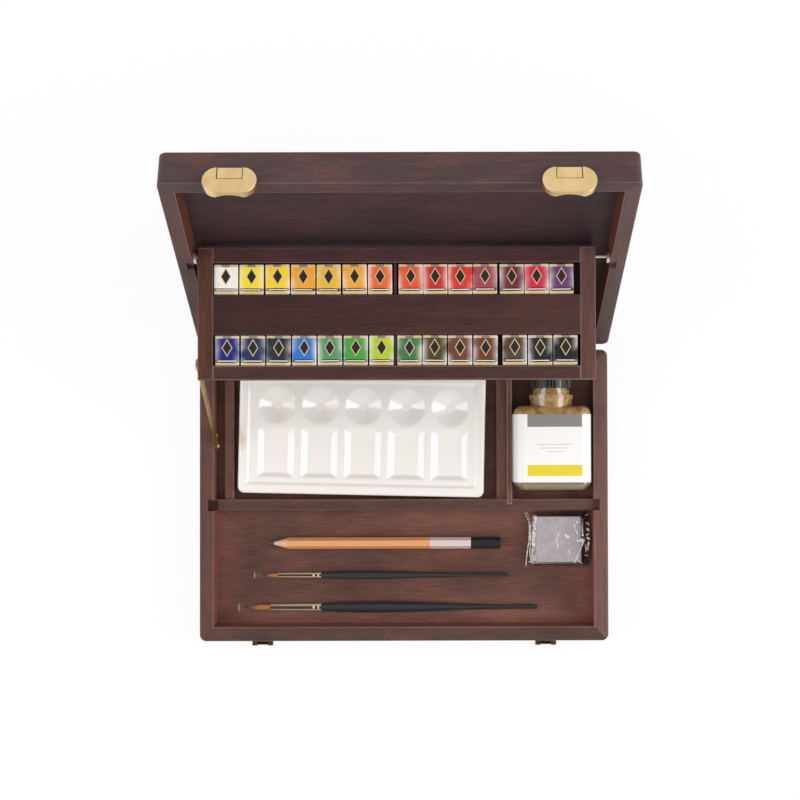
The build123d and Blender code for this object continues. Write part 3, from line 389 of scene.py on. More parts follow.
# The arm and its pins are the hinges' brass, painted a little paler as painted light.
lit_arm_brass = metal("lit_arm_brass", "#b8975f", "#d2b47c")
steel = metal("bright_steel", "#b5aca6", "#ded6d0", roughness=0.2)
dress(brass, "base_hinge_leaves", "lid_hinge_leaves", "hinge_pins", "base_screws", "lid_screws")
dress(lit_arm_brass, "lift_arm", "arm_pivot_pin", "arm_rivet", "arm_spacer", "arm_stop_pin")
dress(steel, "tray_pivot_rods", "tray_pivot_bushes", "catch_pins")

# The catches: stamped brass flaps that hang on pins from the lid's front, and folded keepers on the
# base that they snap over. The keepers are darker from handling, and a dark plate in each stands
# for the shade in its hollow: painted shadow.
pale_brass = metal("pale_brass", "#d8bb82", "#ead09c", grit_scale=coarse_grit)
old_brass = metal("dark_brass", "#5e4524", "#8c6c3c", roughness=0.28)
shaded_brass = metal("shaded_brass", "#2e2216", "#3c2d1d", roughness=0.4)
dress(pale_brass, "catch_flap_left", "catch_flap_right", "catch_plates")
dress(old_brass, "catch_keepers")


def add_piece(name, mesh, material, body, stands_for=(), smooth=True):
    """Links a finished mesh as a piece that rides on a body, in place of the CAD nodes named."""
    data = bpy.data.meshes.new(name)
    mesh.to_mesh(data)
    mesh.free()
    data.materials.append(material)
    for face in data.polygons:
        face.use_smooth = smooth
    piece = bpy.data.objects.new(name, data)
    bpy.context.scene.collection.objects.link(piece)
    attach(piece, body)
    if stands_for:
        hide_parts(*stands_for)


keepers_low, keepers_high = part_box("catch_keepers")
wall_face_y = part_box("base_wall_front")[0].y
keeper_width = 0.0140
keeper_front_wall = 0.0008
shadow_plate_width = 0.0098
shadow_plate_depth = wall_face_y - keepers_low.y - keeper_front_wall
shadow_plate_thickness = 0.0010
# Each plate is a dark sheet laid where the keeper's hollow is in shade: painted shadow.
shadow_plates = bmesh.new()
for middle_x in (keepers_low.x + keeper_width / 2, keepers_high.x - keeper_width / 2):
    made = bmesh.ops.create_cube(shadow_plates, size=1.0)["verts"]
    bmesh.ops.scale(shadow_plates, vec=(shadow_plate_width, shadow_plate_depth, shadow_plate_thickness), verts=made)
    spot = (middle_x, wall_face_y - shadow_plate_depth / 2, keepers_low.z + shadow_plate_thickness)
    bmesh.ops.translate(shadow_plates, vec=spot, verts=made)
add_piece("keeper_shadow_plates", shadow_plates, shaded_brass, "base", smooth=False)

# The tray: side boards that run its full depth, strips between them, a middle board and a thin
# floor in grooves. It hangs between the lid and the arm and carries the pans in two rows.
tray_gloss = 0.2
stain_wood("tray_wall_front", along_x, "#472e2b", red="#5c3028", edge_wear_and_highlight=0.6, gloss=tray_gloss)
stain_wood("tray_wall_back", along_x, "#422726", red="#5c3028", gloss=tray_gloss)
stain_wood(
    "tray_middle_board",
    along_x,
    "#432926",
    red="#6a3226",
    edge_wear_and_highlight=0.15,
    uneven=paler_rightwards(0.76, 1.22, start_x=-0.12, end_x=0.12),
    gloss=tray_gloss,
)
# The right board is painted paler than the left, as painted sheen from the side lamps.
for side, stain_and_sheen in {"left": "#513026", "right": "#5c3d38"}.items():
    stain_wood(
        f"tray_wall_{side}",
        along_y,
        stain_and_sheen,
        mottle=0.2,
        contrast=0.3,
        red="#7a4033",
        gloss=tray_gloss,
    )
stain_wood("tray_row_dividers", along_y, "#452d2a")
stain_wood("tray_floor", along_x, "#3a2620", edge_wear_and_highlight=0.0)

# The half pans: a white plastic cup of paint in each printed wrapper, glossy and a little creased,
# and laid in by hand, so that no two stand quite alike.
pan_size = Vector((0.0162, 0.0202, 0.0112))
pan_turn_limit = math.radians(0.8)
pan_shift_limit = 0.00015
wrapper_edge = 0.0007
pans_in_group = 7
pans_before_gap = 4
left_pan_pitch = 0.0172
pan_rows = [
    {"left": 0.0, "right": 0.1235, "right_pitch": 0.01665, "gap": 0.0011},
    {"left": 0.0007, "right": 0.1226, "right_pitch": 0.0170, "gap": 0.0024},
]
foil_gold = "#d3b983"
fold_grey = "#857d76"
band_ink = "#211d1b"
pale_print_and_glare = "#ebe4dc"
back_row = {
    "white": "#f0e8e2",
    "lemon": "#f2d706",
    "deep_yellow": "#f2cb00",
    "golden_orange": "#ea9f06",
    "golden_ochre": "#e7b210",
    "light_orange": "#eda20a",
    "orange_red": "#e76206",
    "red_orange": "#e34c06",
    "coral_red": "#cc0c10",
    "scarlet": "#d92018",
    "dusty_crimson": "#a23c4a",
    "wine": "#701c32",
    "magenta_rose": "#d00040",
    "violet": "#62346e",
}
front_row = {
    "ultramarine": "#061280",
    "deep_blue": "#142a5c",
    "indigo": "#1c263a",
    "cerulean": "#0070c4",
    "blue_green": "#4a9262",
    "bright_green": "#449a3c",
    "yellow_green": "#acc404",
    "mid_green": "#387844",
    "olive": "#4c3e10",
    "red_brown": "#6c382f",
    "brown": "#70300e",
    "sepia": "#4e3a30",
    "blue_grey": "#141820",
    "near_black": "#14161a",
}

rows_low, rows_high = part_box("pan_wrappers")
pan_corners = []
for row, row_y in zip(pan_rows, (rows_high.y - pan_size.y, rows_low.y)):
    for index in range(pans_in_group):
        pan_corners.append((row["left"] + index * left_pan_pitch, row_y))
    for index in range(pans_in_group):
        extra = row["gap"] if index >= pans_before_gap else 0.0
        pan_corners.append((row["right"] + index * row["right_pitch"] + extra, row_y))

chance = random.Random(4)
wrappers = bmesh.new()
label_map = wrappers.loops.layers.uv.new("label")
ink_layer = wrappers.loops.layers.float_color.new("paint")
paints = list(back_row.values()) + list(front_row.values())
for (corner_x, corner_y), paint in zip(pan_corners, paints):
    before = set(wrappers.faces)
    block = bmesh.ops.create_cube(wrappers, size=1.0)["verts"]
    edges = list({edge for vert in block for edge in vert.link_edges})
    bmesh.ops.scale(wrappers, vec=pan_size, verts=block)
    bmesh.ops.bevel(
        wrappers,
        geom=edges,
        offset=wrapper_edge,
        segments=3,
        profile=0.5,
        affect="EDGES",
        material=-1,
    )
    faces = [face for face in wrappers.faces if face not in before]
    verts = list({vert for face in faces for vert in face.verts})
    for face in faces:
        for loop in face.loops:
            loop[label_map].uv = (
                loop.vert.co.x / pan_size.x + 0.5,
                loop.vert.co.y / pan_size.y + 0.5,
            )
            loop[ink_layer] = hue(paint)
    turn = Matrix.Rotation(chance.uniform(-pan_turn_limit, pan_turn_limit), 3, "Z")
    bmesh.ops.rotate(wrappers, cent=(0, 0, 0), matrix=turn, verts=verts)
    shift = Vector((chance.uniform(-1, 1), chance.uniform(-1, 1), 0)) * pan_shift_limit
    corner = Vector((rows_low.x + corner_x, corner_y, rows_low.z))
    bmesh.ops.translate(wrappers, vec=corner + pan_size / 2 + shift, verts=verts)


def within(value, low, high):
    """1 from low to high, and 0 elsewhere."""
    return (value > low) * (value < high)


# Where each print lies, in shares of the wrapper's length, and sideways from its middle.
front_foil = 0.10
dark_band = {"low": 0.11, "high": 0.21}
pale_bar = {"low": 0.145, "high": 0.175}
pale_bar_reach = 0.38
lozenge_middle = 0.60
lozenge_steepness = {"aside": 2.5, "along": 1.9}
lozenge_edge = {"low": 0.58, "high": 0.54}
lozenge_inside = {"low": 0.48, "high": 0.44}
back_foil = 0.91
fold_reach = 0.17
glare_reach = {"low": 0.18, "high": 0.5}
glare_patches = {"low": 0.35, "high": 0.62}
print_ink, make = new_material("printed_wrapper")
across, up, _ = axes(make.node("UVMap", {"uv_map": "label"}))
aside = abs(across - 0.5)
paint_ink = make.node("Attribute", {"attribute_name": "paint"})
place = own_place(make)
crease = fuzz(make, place, scale=210.0)
patches = between(fuzz(make, place, scale=75.0, detail=1.0), **glare_patches)
lozenge = aside * lozenge_steepness["aside"]
lozenge = lozenge + abs(up - lozenge_middle) * lozenge_steepness["along"]
# The print is darkened and lightened with the crease height: painted shade and light on the
# creases.
field = darkened(make, paint_ink, 0.86 + 0.28 * crease)
field = mix(make, between(lozenge, **lozenge_edge), field, hue(foil_gold))
field = mix(make, between(lozenge, **lozenge_inside), field, hue(band_ink))
field = mix(make, within(up, **dark_band), field, hue(band_ink))
field = mix(make, within(up, **pale_bar) * (aside < pale_bar_reach), field, hue(pale_print_and_glare))
field = mix(make, (up < front_foil) + (up > back_foil), field, hue(foil_gold))
field = mix(make, (up > back_foil) * (aside < fold_reach), field, hue(fold_grey))
# Pale glare in patches at each wrapper's sides is a painted highlight; the pale bar above is print.
glare = between(aside, **glare_reach)
glare = glare * glare * patches * (0.6 + 0.5 * crease)
field = mix(make, glare, field, hue(pale_print_and_glare))
set_shader(
    print_ink,
    Base_Color=field,
    Roughness=0.3,
    Coat_Weight=0.4,
    Coat_Roughness=0.12,
    Normal=bump(make, crease, strength=0.4, distance=0.0005),
)
add_piece("pan_wrappers_printed", wrappers, print_ink, "tray", ["pan_wrappers"])


def plastic(name, colour, roughness, coat=0.0):
    """Moulded or lacquered colour that is hardly uneven."""
    material, make = new_material(name)
    cloud = fuzz(make, own_place(make), scale=300.0)
    tint = mix(make, between(cloud, 0.2, 0.8), hue(colour), hue(colour, gain=0.86))
    set_shader(material, Base_Color=tint, Roughness=roughness + 0.08 * cloud, Coat_Weight=coat)
    return material


dress(plastic("pan_cup_plastic", "#ecebe6", roughness=0.35), "pan_cups")
cake, make = new_material("pan_paint")
cake_tone = fuzz(make, own_place(make), scale=200.0)
set_shader(cake, Base_Color=mix(make, cake_tone, hue("#7a3c24"), hue("#4a2c1c")), Roughness=0.5)
dress(cake, "paint_cakes")

# The palette: one piece of white glazed ware, poured in a mould. A raised rim stands round a deck
# with five round wells like shallow cones and five long wells with sloping sides.
palette_low, palette_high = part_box("palette")
palette_half = Vector((0.09095, 0.0453))
palette_height = palette_high.z - palette_low.z
palette_corner = 0.005
palette_turn = math.radians(-1.3)
edge_rounding = 0.0022
rim_width = 0.0073
rim_step = 0.0016
rim_step_width = 0.0024
well_shift = 0.0008
well_pitch = 0.0321
round_well = {"y": 0.0201, "reach": 0.0150, "floor": 0.0022, "depth": 0.0054}
long_well = {"y": -0.0150, "half": (0.0142, 0.0186), "slope": (0.0062, 0.0040), "depth": 0.0028}
step_rounding = 0.4
well_rounding = 0.16
rounding_steps = 6
foot_rounding = 0.0006
paint_spot = Vector((-0.1188, 0.0398, 0.0216))
paint_spot_shape = (1.5, 0.75, 0.3)
paint_spot_reach = {"low": 0.0062, "high": 0.001}


def eased(share, rounding):
    """A step from 0 to 1 with a straight middle, and ends rounded over that share of it."""
    share = min(max(share, 0.0), 1.0)
    steep = 1 / (1 - rounding)
    if share < rounding:
        return steep * share * share / (2 * rounding)
    if share > 1 - rounding:
        return 1 - steep * (1 - share) ** 2 / (2 * rounding)
    return steep * (share - rounding / 2)


def palette_outline(along, aside, grown):
    """A point of the palette's rounded outline or inside it, drawn out by grown."""
    corner = palette_corner + grown
    spot = [along * (palette_half.x + grown), aside * (palette_half.y + grown)]
    past = [(abs(spot[i]) - (palette_half[i] + grown - corner)) / corner for i in (0, 1)]
    if min(past) > 0:
        for i in (0, 1):
            bent = past[i] * math.sqrt(1 - past[1 - i] ** 2 / 2)
            spot[i] = math.copysign(palette_half[i] + grown - corner + bent * corner, spot[i])
    return spot


def palette_surface(x, y):
    """The height of the rim, the deck or a well over the palette's foot."""
    edge = min(palette_half.x - abs(x), palette_half.y - abs(y))
    past_rim = (edge - rim_width) / rim_step_width + 0.5
    height = palette_height - rim_step * eased(past_rim, step_rounding)
    for index in (-2, -1, 0, 1, 2):
        from_well = x - well_shift - index * well_pitch
        reach = math.hypot(from_well, y - round_well["y"])
        share = (round_well["reach"] - reach) / (round_well["reach"] - round_well["floor"])
        height -= round_well["depth"] * eased(share, well_rounding)
        aside = (long_well["half"][0] - abs(from_well)) / long_well["slope"][0]
        along = (long_well["half"][1] - abs(y - long_well["y"])) / long_well["slope"][1]
        height -= long_well["depth"] * eased(min(aside, along), well_rounding)
    return height


dish = bmesh.new()
outline_layer = dish.verts.layers.float_vector.new("outline")
bmesh.ops.create_grid(dish, x_segments=210, y_segments=105, size=1.0)
for vert in dish.verts:
    vert[outline_layer] = vert.co
    x, y = palette_outline(vert.co.x, vert.co.y, -edge_rounding)
    vert.co = (x, y, palette_surface(x, y))
border = [edge for edge in dish.edges if edge.is_boundary]
profile = []
for step in range(1, rounding_steps + 1):
    angle = math.radians(90) * step / rounding_steps
    fallen = edge_rounding * (1 - math.cos(angle))
    profile.append((edge_rounding * (math.sin(angle) - 1), palette_height - fallen))
profile += [(0.0, foot_rounding), (-foot_rounding, 0.0)]
for grown, height in profile:
    made = bmesh.ops.extrude_edge_only(dish, edges=border)["geom"]
    border = [item for item in made if isinstance(item, bmesh.types.BMEdge)]
    for vert in {vert for edge in border for vert in edge.verts}:
        along, aside, _ = vert[outline_layer]
        x, y = palette_outline(along, aside, grown)
        vert.co = (x, y, height)
bmesh.ops.contextual_create(dish, geom=border)
bmesh.ops.recalc_face_normals(dish, faces=dish.faces[:])
turn = Matrix.Rotation(palette_turn, 3, "Z")
bmesh.ops.rotate(dish, cent=(0, 0, 0), matrix=turn, verts=dish.verts[:])
palette_middle = (palette_low + palette_high) / 2
foot = (palette_middle.x, palette_middle.y, palette_low.z)
bmesh.ops.translate(dish, vec=foot, verts=dish.verts[:])
glaze, make = new_material("palette_glaze")
place = own_place(make)
from_spot = make.node("Mapping", inputs={"Vector": place, "Location": -paint_spot})
from_spot = make.node("Mapping", inputs={"Vector": from_spot, "Scale": paint_spot_shape})
spot_reach = make.node("VectorMath", {"operation": "LENGTH"}, {0: from_spot}, output=1)
spot_tone = 0.35 + 0.3 * fuzz(make, place, scale=400.0)
white = mix(make, fuzz(make, place, scale=30.0), hue("#ece6df"), hue("#f1ece7"))
spot_share = between(spot_reach, **paint_spot_reach) * spot_tone
white = mix(make, spot_share, white, hue("#c9a878"))
set_shader(
    glaze,
    Base_Color=white,
    Roughness=0.14,
    Coat_Weight=0.25,
    Coat_Roughness=0.06,
    Normal=bump(make, fuzz(make, place, 120.0, detail=1.0), strength=0.12, distance=0.0006),
)
add_piece("palette_glazed", dish, glaze, "palette", ["palette"])

# The bottle: thick clear glass with rounded shoulders and a ringed neck, filled with a honey
# coloured medium, and a paper label wrapped right round it.
foot_reach = {"low": 0.004, "high": 0.012}
foot_highlight_share = 0.24
body_honey_share = 0.3
clear_glass, make = new_material("bottle_clear_glass")
place = own_place(make)
waves = bump(make, fuzz(make, place, 70.0, detail=1.0), strength=0.08, distance=0.0008)
set_shader(
    clear_glass,
    Base_Color=hue("#fbfcfa"),
    Roughness=0.02,
    Transmission_Weight=1.0,
    IOR=1.5,
    Normal=waves,
)
# Over the glass is painted what shows through it: the honey medium, mottled light and dark as
# painted refraction, and a pale beige at the foot as painted highlight.
refraction_mottle = between(fuzz(make, place, scale=130.0), 0.35, 0.65)
honey = mix(make, refraction_mottle, hue("#e6bd7c"), hue("#a87a3c"))
past_foot = between(axes(place)[1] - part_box("bottle_glass")[0].y, **foot_reach)
shown_through = mix(make, past_foot, hue("#cbb594"), honey)
painted_through_glass = make.node(
    "BsdfPrincipled",
    inputs={"Base Color": shown_through, "Roughness": 0.04, "Coat Weight": 0.5, "Normal": waves},
)


def blend_shaders(make, share, other):
    """Shows another shader in place of the material's own, by share."""
    own = Shade(make.tree, make.tree.nodes["Principled BSDF"].outputs[0])
    blended = make.node("MixShader", inputs={0: share, 1: own, 2: other})
    make.tree.links.new(blended.socket, make.tree.nodes["Material Output"].inputs["Surface"])


blend_shaders(make, foot_highlight_share + body_honey_share * past_foot, painted_through_glass)
dress(clear_glass, "bottle_glass")
medium, make = new_material("honey_medium")
medium_tone = fuzz(make, own_place(make), scale=60.0)
set_shader(
    medium,
    Base_Color=mix(make, medium_tone, hue("#e0ac50"), hue("#c89038")),
    Roughness=0.05,
    Transmission_Weight=0.25,
    IOR=1.36,
)
dress(medium, "bottle_liquid")
label_low, label_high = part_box("bottle_label")
print_left = 0.0098
print_right = 0.0073
grey_depth = 0.0092
yellow_band = {"low": label_low.y + 0.0047, "high": label_low.y + 0.0127}
# Each rule: its height over the label's lower edge, and half its length.
rules = {0.0275: 0.0125, 0.0250: 0.0105, 0.0225: 0.0060}
rule_thickness = 0.0005
rule_strength = 0.6
paper, make = new_material("bottle_label_paper")
place = own_place(make)
label_x, label_y, _ = axes(place)
inside = within(label_x, label_low.x + print_left, label_high.x - print_right)
sheet_white = mix(make, fuzz(make, place, scale=900.0), hue("#efecea"), hue("#f6f4f2"))
design = mix(make, inside * (label_y > label_high.y - grey_depth), sheet_white, hue("#8b827d"))
design = mix(make, inside * within(label_y, **yellow_band), design, hue("#e6cf14"))
print_middle = (label_low.x + print_left + label_high.x - print_right) / 2
for rule_y, rule_half in rules.items():
    rule = abs(label_y - label_low.y - rule_y) < rule_thickness / 2
    rule = rule * (abs(label_x - print_middle) < rule_half)
    design = mix(make, rule * rule_strength, design, hue("#a09a96"))
set_shader(paper, Base_Color=design, Roughness=0.42, Coat_Weight=0.2, Coat_Roughness=0.2)
dress(paper, "bottle_label")

# The cap: black plastic moulded with fine ribs and screwed down on the bottle's neck, with a disc
# of white foam in it that seals the mouth.
dress(plastic("cap_black", "#141415", roughness=0.24, coat=0.3), "bottle_cap")
dress(plastic("liner_white", "#e6e4df", roughness=0.6), "cap_liner")

# The eraser: a block of grey kneading putty in a loose bag of clear film. The film is drawn over
# the block, sealed in a ragged fin at the left and folded over at the right, painted dark there as
# painted shade.
putty, make = new_material("eraser_putty")
place = own_place(make)
cloud = fuzz(make, place, scale=160.0, detail=4.0)
grain = 0.5 * cloud + 0.5 * fuzz(make, place, scale=1100.0, detail=2.0)
set_shader(
    putty,
    Base_Color=mix(make, spread(grain), hue("#978e92"), hue("#b3abae")),
    Roughness=0.75,
    Normal=bump(make, cloud, strength=0.3, distance=0.0004),
)
dress(putty, "eraser_block")

block_low, block_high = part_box("eraser_block")
film_low, film_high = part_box("eraser_film")
film_middle = (film_low + film_high) / 2
film_half = (film_high - film_low) / 2
film_slope = 0.0026
film_loose = 0.0012
film_margin = 0.0003
film_rounding = 0.3
seal_height = 0.0030
seal_start = 0.80
seal_fall = 0.8
fin_start = 0.72
fin_pinch = 0.0016
fin_wave = {"level": 0.8, "swing": 0.4, "turns": 7}
crumple_scale = 330.0
crumple_slice = 0.3
crumple_depth = 0.0006
fine_crumple = {"scale": 2.3, "slice": 0.8, "share": 0.6}
crease_ridge = 0.0004
crease_fullness = 1.5
# Each crease, painted white as a highlight: its line's points as shares of the block's width and
# depth, and its width in metres.
crease_highlights = [
    ([(-0.20, 1.06), (-0.12, 0.86), (-0.14, 0.52), (-0.17, 0.23), (-0.19, -0.08)], 0.0006),
    ([(-0.16, 1.08), (-0.10, 0.91), (-0.11, 0.48), (-0.12, 0.22), (-0.08, 0.00)], 0.0005),
    ([(-0.01, 0.98), (-0.04, 0.57), (-0.04, -0.01)], 0.0022),
    ([(-0.13, 0.00), (0.17, -0.02), (0.80, -0.03), (1.04, -0.05)], 0.0005),
    ([(0.84, 0.85), (0.86, 0.73), (0.93, 0.60)], 0.0008),
    ([(0.92, 0.48), (1.01, 0.48)], 0.0022),
    ([(1.03, 0.45), (0.98, 0.28), (0.90, 0.11), (0.85, 0.00)], 0.0008),
    ([(1.03, 0.96), (1.02, 0.59)], 0.0010),
    ([(0.31, 0.71), (0.32, 0.62)], 0.0006),
    ([(0.52, 0.71), (0.49, 0.59), (0.46, 0.48), (0.49, 0.34)], 0.0007),
    ([(0.67, 0.61), (0.70, 0.56)], 0.0022),
    ([(0.90, 0.88), (0.92, 0.86)], 0.0011),
    ([(0.72, 0.28), (0.74, 0.19)], 0.0006),
    ([(0.79, 0.29), (0.80, 0.22)], 0.0006),
    ([(1.10, 1.01), (1.17, 1.03)], 0.0005),
    ([(1.13, 0.85), (1.18, 0.83)], 0.0010),
    ([(1.13, 0.72), (1.17, 0.70)], 0.0011),
    ([(1.11, 0.60), (1.16, 0.62)], 0.0006),
    ([(1.12, 0.54), (1.16, 0.52)], 0.0009),
    ([(1.15, 0.44), (1.14, 0.28)], 0.0008),
    ([(1.09, 0.38), (1.11, 0.23)], 0.0005),
    ([(1.09, 0.16), (1.15, 0.13)], 0.0005),
    ([(0.91, 0.07), (1.03, -0.04)], 0.0007),
]
block_size = block_high - block_low
crease_highlight_lines = []
for shares, width in crease_highlights:
    points = [
        Vector((block_low.x + across * block_size.x, block_low.y + aside * block_size.y))
        for across, aside in shares
    ]
    crease_highlight_lines.append((points, width))


def crease_highlight_share(x, y):
    """How near the spot lies to a crease: 1 along the middle of its line, and 0 past its width. It
    sets the crease's painted highlight and its ridge.
    """
    spot = Vector((x, y))
    most = 0.0
    for points, width in crease_highlight_lines:
        for start, stop in zip(points, points[1:]):
            run = stop - start
            share = min(max((spot - start).dot(run) / run.length_squared, 0.0), 1.0)
            away = (spot - start - run * share).length
            most = max(most, crease_fullness * (1 - away / width))
    return min(most, 1.0)


bag = bmesh.new()
shine_layer = bag.verts.layers.float.new("shine")
bmesh.ops.create_grid(bag, x_segments=170, y_segments=146, size=1.0)
for vert in bag.verts:
    along, aside = vert.co.x, vert.co.y
    fin_share = max(-along - fin_start, 0.0) / (1 - fin_start)
    ragged = fin_wave["level"] + fin_wave["swing"] * math.sin(fin_wave["turns"] * aside)
    x = film_middle.x + along * (film_half.x - film_margin)
    x += fin_pinch * fin_share * (1 - aside * aside) * ragged
    y = film_middle.y + aside * (film_half.y - film_margin)
    past = max(block_low.x - x, x - block_high.x, block_low.y - y, y - block_high.y)
    fall = eased(past / film_slope, film_rounding)
    crumple = abs(noise.noise(Vector((x, y, crumple_slice)) * crumple_scale))
    fine_spot = Vector((x, y, fine_crumple["slice"])) * fine_crumple["scale"] * crumple_scale
    crumple += fine_crumple["share"] * abs(noise.noise(fine_spot))
    shine = crease_highlight_share(x, y)
    top = film_high.z - film_margin - crumple_depth * crumple * (1 - fall)
    past_seal = (abs(aside) - seal_start) / (1 - seal_start)
    bottom = film_low.z + seal_height * max(0.0, 1 - past_seal * seal_fall)
    height = top + (bottom - top) * fall + (film_loose * crumple + crease_ridge * shine) * fall
    vert.co = (x, y, height)
    vert[shine_layer] = shine
# The film is clear over the block, painted dark as painted shade where it lies double beside it,
# and painted white on a crease as painted highlight.
# The reaches are distances outward from the block.
right_fold_reach = {"low": 0.0002, "high": 0.0012}
left_fin_reach = {"low": 0.0006, "high": 0.0016}
side_fold_start = {"low": 0.0, "high": 0.0006}
side_fold_end = {"low": 0.0048, "high": 0.0036}
right_fold_shade = 0.64
side_fold_shade = 0.36
crease_highlight_white = 0.85
least_film = 0.03
film, make = new_material("eraser_clear_film")
place = own_place(make)
film_x, film_y, _ = axes(place)
shine = make.node("Attribute", {"attribute_name": "shine"}, output=2)
broken = between(fuzz(make, place, scale=420.0, detail=2.0), 0.36, 0.56)
highlight_streak = shine * (0.45 + 0.55 * broken)
outside_y = larger(block_low.y - film_y, film_y - block_high.y)
right_fold = between(film_x - block_high.x, **right_fold_reach)
left_fin = between(block_low.x - film_x, **left_fin_reach)
side_fold = between(outside_y, **side_fold_start) * between(outside_y, **side_fold_end)
painted_fold_shade = larger(right_fold * right_fold_shade, side_fold * (1 - left_fin) * side_fold_shade)
set_shader(
    film,
    Base_Color=mix(make, between(highlight_streak, 0.1, 0.5), hue("#2c2321"), hue("#f3eeec")),
    Roughness=0.14,
    Alpha=larger(highlight_streak * crease_highlight_white, least_film + painted_fold_shade),
    Normal=bump(make, fuzz(make, place, 200.0, detail=2.0), strength=0.5, distance=0.001),
)
add_piece("eraser_film_crumpled", bag, film, "eraser", ["eraser_film"])

# The pencil: a six sided cedar barrel in orange lacquer with a pale band and a black dipped end,
# sharpened to a long cone round its lead.
barrel_low, barrel_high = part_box("pencil_barrel")
barrel_y = (barrel_low.y + barrel_high.y) / 2
barrel_z = (barrel_low.z + barrel_high.z) / 2
half_flats = (barrel_high.z - barrel_low.z) / 2
lacquer_thickness = 0.00003
pale_band_x = 0.0192
black_end_x = 0.0496
slant = math.radians(30)
lacquer, make = new_material("pencil_lacquer")
place = own_place(make)
at_x, at_y, at_z = axes(place)
at_y = at_y - barrel_y
at_z = at_z - barrel_z
first_side = abs(at_y * math.cos(slant) + at_z * math.sin(slant))
second_side = abs(at_y * math.cos(slant) - at_z * math.sin(slant))
outermost = larger(abs(at_z), larger(first_side, second_side))
bare_wood = outermost < half_flats - lacquer_thickness
drawn = make.node("Mapping", inputs={"Vector": place, "Scale": (0.1, 1, 1)})
cedar = mix(make, fuzz(make, drawn, scale=900.0), hue("#c99878"), hue("#e4bd9c"))
orange = mix(make, fuzz(make, place, scale=120.0), hue("#dc935c"), hue("#e4a36e"))
coat_colour = mix(make, at_x > pale_band_x, orange, hue("#d9c2bb"))
coat_colour = mix(make, at_x > black_end_x, coat_colour, hue("#19191c"))
set_shader(
    lacquer,
    Base_Color=mix(make, bare_wood, coat_colour, cedar),
    Roughness=0.3 + 0.4 * bare_wood,
    Coat_Weight=0.5,
    Coat_Roughness=0.1,
)
dress(lacquer, "pencil_barrel")
lead, make = new_material("pencil_graphite")
lead_tone = fuzz(make, own_place(make), scale=800.0)
set_shader(
    lead,
    Base_Color=mix(make, lead_tone, hue("#4a4a4c"), hue("#6a6a6c")),
    Roughness=0.38,
    Metallic=0.4,
)
dress(lead, "pencil_lead")

# The brushes: turned handles in matt black lacquer, drawn brass ferrules crimped on beside the
# handle, hair tufts that darken towards the point, and a clear sleeve over each.
brushes = ("small", "large")
crimps_from_handle = (0.0021, 0.0056)
crimp_glint_reach = {"low": 0.0008, "high": 0.0004}
dark_reflection_middle = {"low": 0.34, "high": 0.62}
lip_glint_reach = {"low": 0.0007, "high": 0.0004}
lip_glint_white = 0.22
streak_highlight_white = 0.04
grazing_sheen_white = 0.28
least_sleeve = 0.008
handle_black = plastic("handle_black", "#28292c", roughness=0.5)
dress(handle_black, "small_brush_handle", "large_brush_handle")
for brush in brushes:
    ferrule_low, ferrule_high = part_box(f"{brush}_brush_ferrule")
    gold_with_reflections, make = new_material(f"{brush}_ferrule_painted_reflections")
    place = own_place(make)
    at_x, at_y, _ = axes(place)
    from_axis = abs(at_y - (ferrule_low.y + ferrule_high.y) / 2)
    reach = (ferrule_high.y - ferrule_low.y) / 2
    # The ferrule is painted dark along its middle and bright at its sides and crimps: painted
    # reflection and glints.
    ferrule_glints = between(from_axis, dark_reflection_middle["low"] * reach, dark_reflection_middle["high"] * reach)
    for from_handle in crimps_from_handle:
        from_crimp = abs(ferrule_high.x - at_x - from_handle)
        ferrule_glints = larger(ferrule_glints, between(from_crimp, **crimp_glint_reach))
    set_shader(
        gold_with_reflections,
        Base_Color=mix(make, ferrule_glints, hue("#4e3a22"), hue("#f7e3bb")),
        Metallic=0.5,
        Roughness=0.12 + 0.08 * fuzz(make, place, scale=500.0),
    )
    dress(gold_with_reflections, f"{brush}_brush_ferrule")
    sleeve, make = new_material(f"{brush}_sleeve_clear_plastic")
    place = own_place(make)
    # The sleeve is painted white in streaks along it, in a ring at its lip and where it is seen
    # edge on: painted highlights and sheen.
    drawn = make.node("Mapping", inputs={"Vector": place, "Scale": (0.02, 1, 1)})
    highlight_streaks = between(fuzz(make, drawn, scale=1500.0), 0.58, 0.7)
    lip_glint = between(axes(place)[0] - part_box(f"{brush}_brush_sleeve")[0].x, **lip_glint_reach)
    grazing_sheen = between(make.node("LayerWeight", inputs={"Blend": 0.5}, output=1), 0.80, 0.98)
    veil = least_sleeve + streak_highlight_white * highlight_streaks + grazing_sheen_white * grazing_sheen
    set_shader(
        sleeve,
        Base_Color=hue("#d8d2d0"),
        Roughness=0.06,
        Alpha=larger(lip_glint * lip_glint_white, veil),
    )
    dress(sleeve, f"{brush}_brush_sleeve")
hair_count = 420
hair_rings = 6
hair_root = 0.0006
hair_thickness = 0.035
shortest_share = 0.2
tuft_fill = 0.92
tuft_swell = {"root": 0.74, "belly": 0.9, "point": 0.62, "power": 2.4, "least": 0.03}
dark_tip = {"low": 0.60, "high": 0.15}
golden_turn = math.pi * (3 - math.sqrt(5))
strand = bmesh.new()
bmesh.ops.create_cone(strand, cap_ends=True, segments=4, radius1=1.0, radius2=0.45, depth=1.0)
upright = [edge for edge in strand.edges if abs(edge.verts[0].co.z - edge.verts[1].co.z) > 0.5]
bmesh.ops.subdivide_edges(strand, edges=upright, cuts=hair_rings - 2)
bmesh.ops.translate(strand, vec=(0, 0, 0.5), verts=strand.verts[:])
strand_data = bpy.data.meshes.new("strand")
strand.to_mesh(strand_data)
strand.free()
